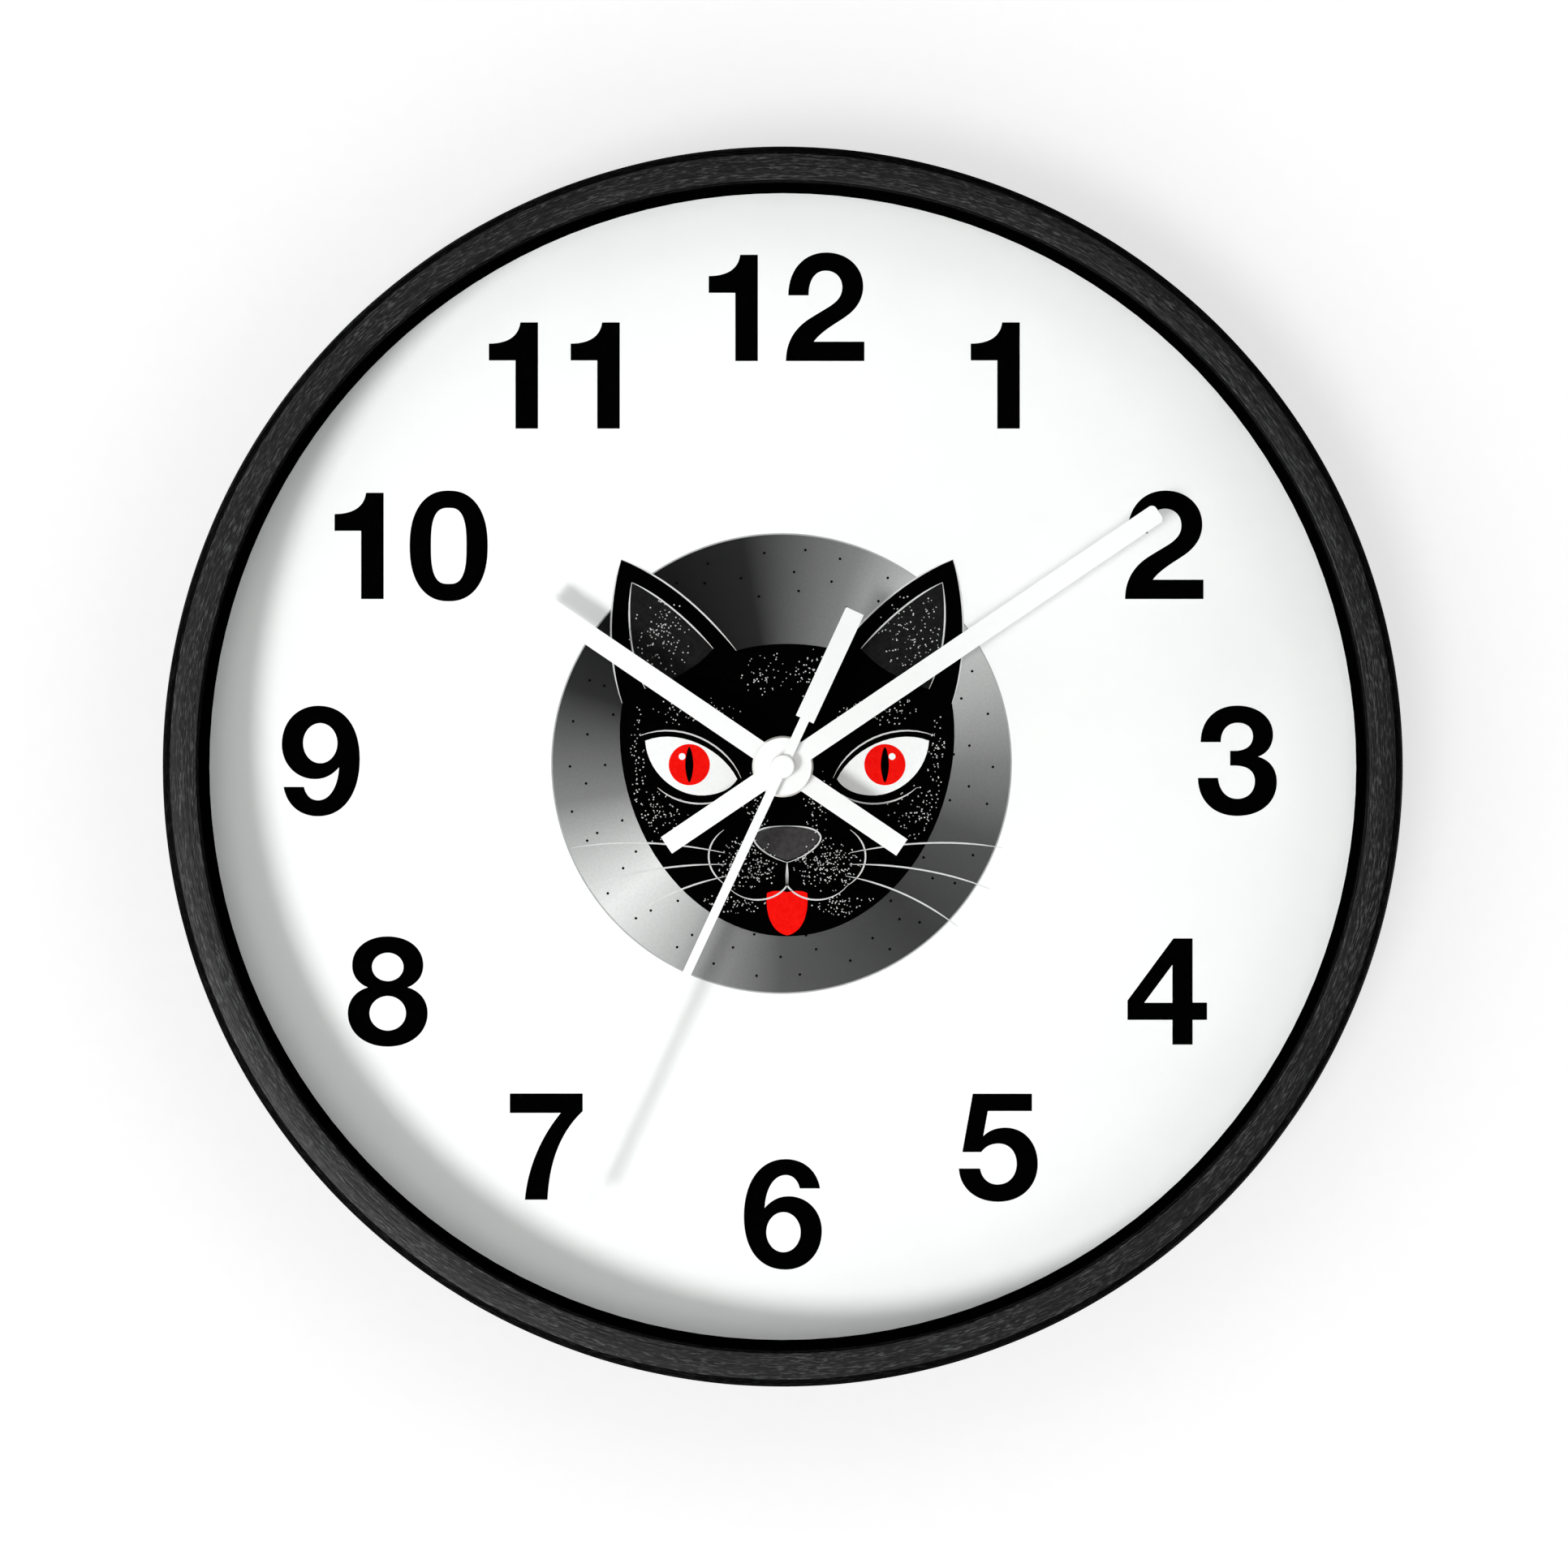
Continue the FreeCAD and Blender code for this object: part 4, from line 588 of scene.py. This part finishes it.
# each hour's figures: the figure, its left edge and its foot, in millimetres from the hand axis
FIGURES = [
    ("1", -15.45, 84.6), ("2", 0.66, 84.6), ("1", 39.2, 70.5), ("2", 71.4, 34.95),
    ("3", 86.6, -9.9), ("4", 71.9, -58.0), ("5", 36.7, -90.4), ("6", -8.14, -104.5),
    ("7", -56.94, -90.35), ("8", -90.73, -58.0), ("9", -104.5, -9.9), ("1", -93.5, 34.95),
    ("0", -77.83, 34.95), ("1", -61.3, 70.5), ("1", -44.25, 70.5),
]


def bezier(a, b, c, d):
    """Points on a cubic curve after its start."""
    steps, made = 14, []
    for i in range(1, steps + 1):
        t = i / steps
        s = 1 - t
        weights = (s**3, 3 * s * s * t, 3 * s * t * t, t**3)
        made.append(tuple(sum(w * p[k] for w, p in zip(weights, (a, b, c, d))) for k in (0, 1)))
    return made


def oval(x, y, wide, high, power=2.0, steps=72):
    """A closed oval, squarer as the power rises above 2."""
    points = []
    for i in range(steps):
        c, s = math.cos(TAU * i / steps), math.sin(TAU * i / steps)
        across = math.copysign(abs(c) ** (2 / power), c)
        up = math.copysign(abs(s) ** (2 / power), s)
        points.append((x + wide * across, y + high * up))
    return points


def loops_of(path):
    """The closed loops of a path: M move, L line, C curve, Z close, E oval with its power."""
    words = path.split()
    loops, loop, i = [], [], 0
    while i < len(words):
        word = words[i]
        if word == "Z":
            loops.append(loop)
            loop = []
            i += 1
            continue
        size = {"M": 2, "L": 2, "C": 6, "E": 5}[word]
        values = [float(w) for w in words[i + 1 : i + 1 + size]]
        pairs = list(zip(values[::2], values[1::2]))
        if word == "E":
            loops.append(oval(*values))
        elif word == "C":
            loop.extend(bezier(loop[-1], *pairs))
        else:
            loop.extend(pairs)
        i += 1 + size
    return loops + ([loop] if loop else [])


def moved(loops, x=0.0, y=0.0, scale=1.0, mirror=1.0):
    return [[(x + px * scale * mirror, y + py * scale) for px, py in loop] for loop in loops]


def without_repeats(loop):
    kept = []
    for point in loop:
        if not kept or math.dist(point, kept[-1]) > 1e-4:
            kept.append(point)
    if math.dist(kept[0], kept[-1]) < 1e-4:
        kept.pop()
    return kept


def flat_mesh(name, loops, level, thickness=LAYER):
    """A closed flat mesh of this thickness whose outline and holes are the loops."""
    drawing = bpy.data.curves.new(name, "CURVE")
    drawing.dimensions = "2D"
    drawing.fill_mode = "BOTH"
    drawing.extrude = thickness / 2
    for loop in loops:
        loop = without_repeats(loop)
        spline = drawing.splines.new("POLY")
        spline.points.add(len(loop) - 1)
        for point, (x, y) in zip(spline.points, loop):
            point.co = (x, y, 0.0, 1.0)
        spline.use_cyclic_u = True
    holder = bpy.data.objects.new(name, drawing)
    mesh = bpy.data.meshes.new_from_object(holder)
    bpy.data.objects.remove(holder)
    bpy.data.curves.remove(drawing)
    mesh.name = name
    work = bmesh.new()
    work.from_mesh(mesh)
    bmesh.ops.remove_doubles(work, verts=work.verts, dist=1e-5)
    for vert in work.verts:
        vert.co = at(vert.co.x, vert.co.y, level + thickness / 2 + vert.co.z)
    bmesh.ops.recalc_face_normals(work, faces=work.faces)
    work.to_mesh(mesh)
    work.free()
    mesh.materials.clear()
    return mesh


def printed(name, loops, layer, material):
    """Print on the dial sheet, or on this many layers of other print."""
    level = DIAL_LEVEL + layer * LAYER
    return new_piece(name, flat_mesh(name, loops, level), material)


def dotted(name, dots, layer, material):
    """Many round printed dots, each (x, y, radius), as one piece."""
    vertices, faces = [], []
    low = DIAL_LEVEL + layer * LAYER
    for x, y, radius in dots:
        start = len(vertices)
        top = start + DOT_SIDES
        for level in (low, low + LAYER):
            for i in range(DOT_SIDES):
                angle = TAU * i / DOT_SIDES
                vertices.append(at(x + radius * math.cos(angle), y + radius * math.sin(angle), level))
        faces.append([start + i for i in reversed(range(DOT_SIDES))])
        faces.append([top + i for i in range(DOT_SIDES)])
        for i in range(DOT_SIDES):
            j = (i + 1) % DOT_SIDES
            faces.append([start + i, start + j, top + j, top + i])
    mesh = bpy.data.meshes.new(name)
    mesh.from_pydata(vertices, [], faces)
    tidy_normals(mesh)
    return new_piece(name, mesh, material)


def stroke(points, width):
    """A line of this width through the points, pointed at both ends, as one loop."""
    left, right = [], []
    last = len(points) - 1
    for i, point in enumerate(points):
        before, after = points[max(i - 1, 0)], points[min(i + 1, last)]
        dx, dy = after[0] - before[0], after[1] - before[1]
        length = math.hypot(dx, dy)
        half = width / 2 * min(1.0, 0.25 + 3 * min(i, last - i) / last)
        nx, ny = -dy / length * half, dx / length * half
        left.append((point[0] + nx, point[1] + ny))
        right.append((point[0] - nx, point[1] - ny))
    return left + right[::-1]


def open_path(path):
    """An open line's points, from the same letters as a closed path."""
    return loops_of(path)[0]


def figures():
    """The loops of every hour's figures; a nine is a six upside down."""
    loops = []
    for figure, x, y in FIGURES:
        if figure == "9":
            turned = [[(NINE_WIDTH - px, 1 - py) for px, py in loop] for loop in loops_of(GLYPHS["6"])]
            loops += moved(turned, x, y, CAP_HEIGHT)
        else:
            loops += moved(loops_of(GLYPHS[figure]), x, y, CAP_HEIGHT)
    return loops


BLACK_INK = ink("black_ink", (0.0003,) * 3, (0.0009,) * 3)
GREY_INK = ink("grey_ink", (0.36,) * 3, (0.42,) * 3)
PALE_INK = ink("pale_ink", (0.62,) * 3, (0.72,) * 3)
WHITE_INK = ink("white_ink", (0.90,) * 3, (0.94,) * 3)
RED_INK = ink("red_ink", (0.82, 0.004, 0.003), (0.90, 0.010, 0.006))
NOSE_INK = ink("nose_ink", (0.035, 0.033, 0.035), (0.06, 0.056, 0.058))

printed("dial_figures", figures(), 0, BLACK_INK)

# The picture: a cat's face of a plain sort on a round grey field.
FIELD = (-0.27, 0.64)
FIELD_RADIUS = 48.0
AXIS = 0.9  # the face's middle, right of the hand axis
RIM_INNER = FIELD_RADIUS - 0.25
BUSHING_HOLE = oval(0.0, 0.0, 6.4, 6.4)


def field_circle(radius):
    return oval(*FIELD, radius, radius, steps=180)


printed("picture_field", [field_circle(RIM_INNER), BUSHING_HOLE], 0, turned_grey(FIELD))
printed("picture_rim", [field_circle(FIELD_RADIUS + 0.05), field_circle(RIM_INNER)], 0, GREY_INK)

HEAD_HALF = (
    "M 0 25.6 C 3.5 25.6 7.2 25.2 10.6 24.2 C 15.5 30.5 24 39.2 34.6 43.2"
    " C 37.2 35.5 37.8 23 34.4 13.2 C 36.2 3 33.4 -12.6 23.8 -23.6 C 17.4 -31 9 -35.4 0 -35.4"
)
EAR = (
    "M 15.4 24.6 C 19.6 29.6 26.5 35.8 32.4 38.4"
    " C 33.6 31.6 32.8 22.8 29.6 16.2 C 24.4 17.6 19 20.4 15.4 24.6 Z"
)
EYE = (
    "M 10.4 -2.6 C 13.4 3.6 22.5 8.2 29.6 5.4"
    " C 29.2 -1.4 23 -6.4 17.2 -6.0 C 14 -5.8 11.6 -4.6 10.4 -2.6 Z"
)
IRIS_X, IRIS_Y, IRIS_RADIUS = 20.4, 0.4, 4.3
NOSE = "M 0 -12.6 C 3.4 -12.6 6.2 -13.0 6.6 -14.6 C 6.8 -16.2 3.2 -18.8 0 -19.6"
TONGUE = "M 0 -26.2 C 1.6 -25.8 3.2 -25.8 4.2 -26.4 C 4.6 -30.4 3.4 -34.6 0 -35.2"


def both_sides(loops):
    """The loops on the right of the face's middle, and their mirror images."""
    return moved(loops, AXIS) + moved(loops, AXIS, mirror=-1.0)


def whole(path):
    """A closed loop from the right half of a symmetric outline."""
    right = open_path(path)
    left = [(-x, y) for x, y in reversed(right)]
    return moved([right + left[1:]], AXIS)


printed("cat_head", whole(HEAD_HALF) + [BUSHING_HOLE], 1, BLACK_INK)
printed("cat_inner_ears", both_sides(loops_of(EAR)), 2, ink("ear_ink", (0.008,) * 3, (0.014,) * 3))
printed("cat_eyes", both_sides(loops_of(EYE)), 2, WHITE_INK)
iris = oval(IRIS_X, IRIS_Y, IRIS_RADIUS, IRIS_RADIUS)
pupil = oval(IRIS_X, IRIS_Y, 0.85, 3.7, power=1.6)
glint = oval(IRIS_X + 1.5, IRIS_Y + 1.7, 0.7, 0.7)
printed("cat_irises", both_sides([iris]), 3, RED_INK)
printed("cat_pupils", both_sides([pupil]), 4, BLACK_INK)
printed("cat_glints", both_sides([glint]), 5, WHITE_INK)
printed("cat_nose", whole(NOSE), 2, NOSE_INK)
printed("cat_tongue", whole(TONGUE), 2, RED_INK)

# the pen lines on the right half: ear, eye, mouth, cheek, nose and whiskers
LINES = [
    "M 10.6 24.2 C 15.5 30.5 24 39.2 34.6 43.2",
    "M 34.6 43.2 C 37.2 35.5 37.8 23 34.4 13.2",
    "M 15.4 24.6 C 19.6 29.6 26.5 35.8 32.4 38.4",
    "M 32.4 38.4 C 33.6 31.6 32.8 22.8 29.6 16.2",
    "M 9.6 -2.4 C 12.6 5.0 22.5 9.8 30.8 6.4",
    "M 11.4 -5.8 C 15.2 -8.6 22.4 -8.6 27.0 -4.4",
    "M 0 -19.8 C .2 -21.8 .1 -23.4 0 -24.8 C 2.6 -28.6 9.2 -29.0 12.6 -24.8",
    "M 12.6 -24.8 C 17.2 -22.0 17.8 -16.4 13.2 -13.2",
    "M 0 -12.4 C 3.6 -12.4 6.6 -12.9 7.0 -14.6 C 7.2 -16.5 3.4 -19.1 0 -20.0",
    "M 13.0 -18.0 C 24 -15.6 36 -15.2 45 -17.0",
    "M 13.0 -20.4 C 23 -20.2 34 -22.0 42.4 -25.6",
    "M 12.2 -22.8 C 21 -24.4 29 -28.2 35.6 -33.4",
]
for number, path in enumerate(LINES, 1):
    line = stroke(open_path(path), LINE_WIDTH)
    printed(f"cat_line_{number}", both_sides([line]), 3, PALE_INK)


def inside(x, y, loop):
    """Whether a point is inside a closed loop."""
    odd = False
    for (ax, ay), (bx, by) in zip(loop, loop[1:] + loop[:1]):
        if (ay > y) != (by > y) and x < ax + (y - ay) / (by - ay) * (bx - ax):
            odd = not odd
    return odd


def stipple():
    """Pale dots that thin out from a few soft centres, as a pen drawing's shading does."""
    draw = random.Random(5)
    shrunk = 0.97
    head = [(AXIS + (x - AXIS) * shrunk, y * shrunk) for x, y in whole(HEAD_HALF)[0]]
    # each patch: its centre, its spread both ways and how many dots
    patches = [
        (26.0, 27.5, 3.6, 4.6, 150), (8.6, -20.4, 3.8, 2.9, 240), (19.6, 11.6, 5.2, 1.5, 90),
        (27.6, -9.6, 3.6, 3.0, 110), (4.6, 19.6, 2.6, 2.6, 60), (6.5, -7.6, 1.7, 3.6, 80),
        (12.5, -29.0, 4.2, 1.2, 70), (31.2, 3.0, 1.0, 5.0, 60),
    ]
    dots = []
    for x, y, wide, high, count in patches:
        for side in (1, -1):
            for _ in range(count):
                dx, dy = draw.gauss(0, wide), draw.gauss(0, high)
                size = draw.uniform(0.08, 0.17)
                place = (AXIS + side * (x + dx), y + dy)
                if math.hypot(dx / wide, dy / high) < 2.0 and inside(*place, head):
                    dots.append((*place, size))
    return dots


def field_dots():
    """Small dark dots in rough rings round the field."""
    draw = random.Random(3)
    dots = []
    dot_radius = 0.3
    for radius, count in ((36.0, 22), (40.2, 26), (44.4, 30)):
        for i in range(count):
            angle = TAU * (i + draw.uniform(-0.2, 0.2)) / count + radius
            far = radius + draw.uniform(-0.9, 0.9)
            place = (FIELD[0] + far * math.cos(angle), FIELD[1] + far * math.sin(angle))
            dots.append((*place, dot_radius))
    return dots


dotted("cat_stipple", stipple(), 3, PALE_INK)
dotted("field_dots", field_dots(), 0.5, BLACK_INK)


# ---------------------------------------------------------------- moulded marks on the case

CASE_BACK = -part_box("rear_case")[1].y / MM
KNOB = tuple(v / MM for v in (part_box("setting_knob")[0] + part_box("setting_knob")[1]).xz / 2)
MARK_HEIGHT = 0.4
ARROW_RADIUS, ARROW_WIDTH, ARROW_HEAD = 8.2, 0.8, 1.3
SIGN_X, SIGN_Y, SIGN_SPAN, SIGN_WIDTH = 21.8, -5.6, 3.2, 0.8


def moulded(name, loops):
    """A raised mark on the back of the movement's case."""
    mesh = flat_mesh(name, loops, CASE_BACK - MARK_HEIGHT, MARK_HEIGHT + 0.05)
    return new_piece(name, mesh, MATERIALS["black_case"])


def polar(centre, radius, bearing):
    angle = math.radians(bearing)
    return (centre[0] + radius * math.cos(angle), centre[1] + radius * math.sin(angle))


def turning_arrow(centre, radius, start, end, wide, head):
    """A curved arrow round a centre, from one bearing to another."""
    way = math.copysign(1.0, end - start)
    bearings = [start + (end - start) * i / 24 for i in range(25)]
    outer = [polar(centre, radius + wide / 2, b) for b in bearings]
    inner = [polar(centre, radius - wide / 2, b) for b in bearings]
    point = polar(centre, radius, end + way * 17)
    tip = [polar(centre, radius + head, end), point, polar(centre, radius - head, end)]
    return outer + tip + inner[::-1]


def rounded_box(x, y, wide, high, radius, steps=8):
    points = []
    for cx, cy, start in ((1, 1, 0), (-1, 1, 90), (-1, -1, 180), (1, -1, 270)):
        corner = (x + cx * (wide / 2 - radius), y + cy * (high / 2 - radius))
        points += [polar(corner, radius, start + 90 * i / steps) for i in range(steps + 1)]
    return points


def bar(x, y, wide, high):
    return rounded_box(x, y, wide, high, 0.15, 2)


def plus(x, y, span, thick):
    a, b = span / 2, thick / 2
    return [(x + px, y + py) for px, py in ((b, b), (a, b), (a, -b), (b, -b), (b, -a), (-b, -a),
                                            (-b, -b), (-a, -b), (-a, b), (-b, b), (-b, a), (b, a))]


arrows = [
    turning_arrow(KNOB, ARROW_RADIUS, start, start - 100, ARROW_WIDTH, ARROW_HEAD)
    for start in (150, -30)
]
moulded("knob_arrows", arrows)
plus_sign = plus(SIGN_X, SIGN_Y, SIGN_SPAN, SIGN_WIDTH)
minus_sign = bar(-SIGN_X, SIGN_Y, SIGN_SPAN, SIGN_WIDTH)
moulded("cell_signs", [plus_sign, minus_sign])
moulded("case_border", [rounded_box(0, 8.6, 52.4, 35.2, 2.4), rounded_box(0, 8.6, 51.4, 34.2, 1.9)])
moulded("bay_ribs", [bar(1.5 * number, -10.3, 0.6, 1.2) for number in range(-6, 7)])


# ---------------------------------------------------------------- wall, light and camera

VIEW_DISTANCE = 840.0  # from the wall, in millimetres
FOCAL = 90.03
SHIFT = (0.00078, -0.0111)  # the photo's framing
WALL_GLOW = 0.47  # the even light of the room beyond the lamps, on the wall alone
ROOM_LIGHT = 0.75
CARD_EDGE = (22.0, 34.0)  # the dark card fades out between these, in degrees off the dial's axis


def wall():
    """A pale wall behind the clock. From behind it is clear, so that the clock's back shows."""
    half, gap = 1.6, 0.0006  # metres
    corners = [(-half, gap, -half), (half, gap, -half), (half, gap, half), (-half, gap, half)]
    mesh = bpy.data.meshes.new("wall")
    mesh.from_pydata(corners, [], [(0, 1, 2, 3)])
    s = Shader("wall_paint")
    paint = s.blend(s.spread(s.noise(3.0), 0.0, 1.0), (0.77, 0.77, 0.77), (0.79, 0.79, 0.79))
    front = s.add("ShaderNodeBsdfDiffuse", {"Color": paint})
    lit = s.add("ShaderNodeEmission", {"Color": grey(1.0), "Strength": WALL_GLOW})
    front = s.add("ShaderNodeAddShader", {0: front.outputs[0], 1: lit.outputs[0]})
    clear = s.add("ShaderNodeBsdfTransparent")
    behind = s.add("ShaderNodeNewGeometry").outputs["Backfacing"]
    mixed = s.add("ShaderNodeMixShader", {0: behind, 1: front.outputs[0], 2: clear.outputs[0]})
    s.fill(s.output.inputs["Surface"], mixed.outputs[0])
    piece = bpy.data.objects.new("wall", mesh)
    bpy.context.scene.collection.objects.link(piece)
    clothe(piece, s.material)
    piece.visible_shadow = False
    piece.visible_diffuse = False
    piece.visible_glossy = False
    return piece


def light_only(holder, targets):
    """Make a lamp light only these pieces."""
    group = bpy.data.collections.new(f"{holder.name}_targets")
    for target in targets:
        group.objects.link(target)
    holder.light_linking.receiver_collection = group


def lamp(name, bearing, height, distance, size, power):
    """A round soft lamp: bearing anticlockwise from three o'clock, height off the dial's plane."""
    data = bpy.data.lights.new(name, "AREA")
    data.shape = "DISK"
    data.size = size
    data.energy = power
    holder = bpy.data.objects.new(name, data)
    bpy.context.scene.collection.objects.link(holder)
    around, up = math.radians(bearing), math.radians(height)
    way = Vector((math.cos(around) * math.cos(up), -math.sin(up), math.sin(around) * math.cos(up)))
    holder.location = way * distance
    holder.rotation_mode = "QUATERNION"
    holder.rotation_quaternion = (-way).to_track_quat("-Z", "Y")
    return holder


def room():
    """Even light from all round, but for a dark card in front that keeps the pane clear."""
    world = bpy.data.worlds.new("studio")
    world.use_nodes = True
    tree = world.node_tree
    sky = tree.nodes["Background"]
    sky.inputs["Strength"].default_value = ROOM_LIGHT
    way = tree.nodes.new("ShaderNodeTexCoord")
    parts = tree.nodes.new("ShaderNodeSeparateXYZ")
    card = tree.nodes.new("ShaderNodeMapRange")
    card.interpolation_type = "SMOOTHSTEP"
    for socket, edge in zip(card.inputs[1:3], CARD_EDGE):
        socket.default_value = -math.cos(math.radians(edge))
    tree.links.new(way.outputs["Generated"], parts.inputs[0])
    tree.links.new(parts.outputs[1], card.inputs[0])
    # what the camera sees past the clock is plain and pale all the same
    seen = tree.nodes.new("ShaderNodeLightPath")
    shade = tree.nodes.new("ShaderNodeMath")
    shade.operation = "MAXIMUM"
    tree.links.new(card.outputs[0], shade.inputs[0])
    tree.links.new(seen.outputs["Is Camera Ray"], shade.inputs[1])
    tree.links.new(shade.outputs[0], sky.inputs["Color"])
    scene = bpy.context.scene
    scene.world = world
    scene.view_settings.view_transform = "Standard"
    scene.view_settings.look = "None"


def lamps(backdrop):
    """Lamps for the ring, the dial, the wall and the clock's back. None shows in the pane."""
    apart = (backdrop, NODES["lens"], ring)
    inner = [piece for piece in bpy.data.objects if piece.type == "MESH" and piece not in apart]
    light_only(lamp("ring_key", 216.0, 40.0, 4.0, 3.5, 425.0), [ring])
    light_only(lamp("ring_fill", 212.0, 66.0, 2.0, 0.7, 10.5), [ring])
    light_only(lamp("dial_key", 214.0, 52.0, 4.0, 1.1, 134.0), inner)
    light_only(lamp("dial_front", 212.0, 86.0, 2.0, 1.2, 12.0), inner)
    light_only(lamp("wall_wash", 225.0, 70.0, 2.0, 0.6, 7.4), [backdrop])
    lamp("back_key", 140.0, -48.0, 1.5, 0.9, 24.0)
    lamp("back_fill", -20.0, -40.0, 1.5, 0.9, 12.0)


def camera():
    data = bpy.data.cameras.new("camera")
    data.lens = FOCAL
    data.sensor_width = 36.0
    data.shift_x, data.shift_y = SHIFT
    holder = bpy.data.objects.new("camera", data)
    bpy.context.scene.collection.objects.link(holder)
    holder.location = at(0.0, 0.0, VIEW_DISTANCE)
    holder.rotation_euler = (math.pi / 2, 0.0, 0.0)
    bpy.context.scene.camera = holder


room()
lamps(wall())
camera()

bpy.context.view_layer.update()
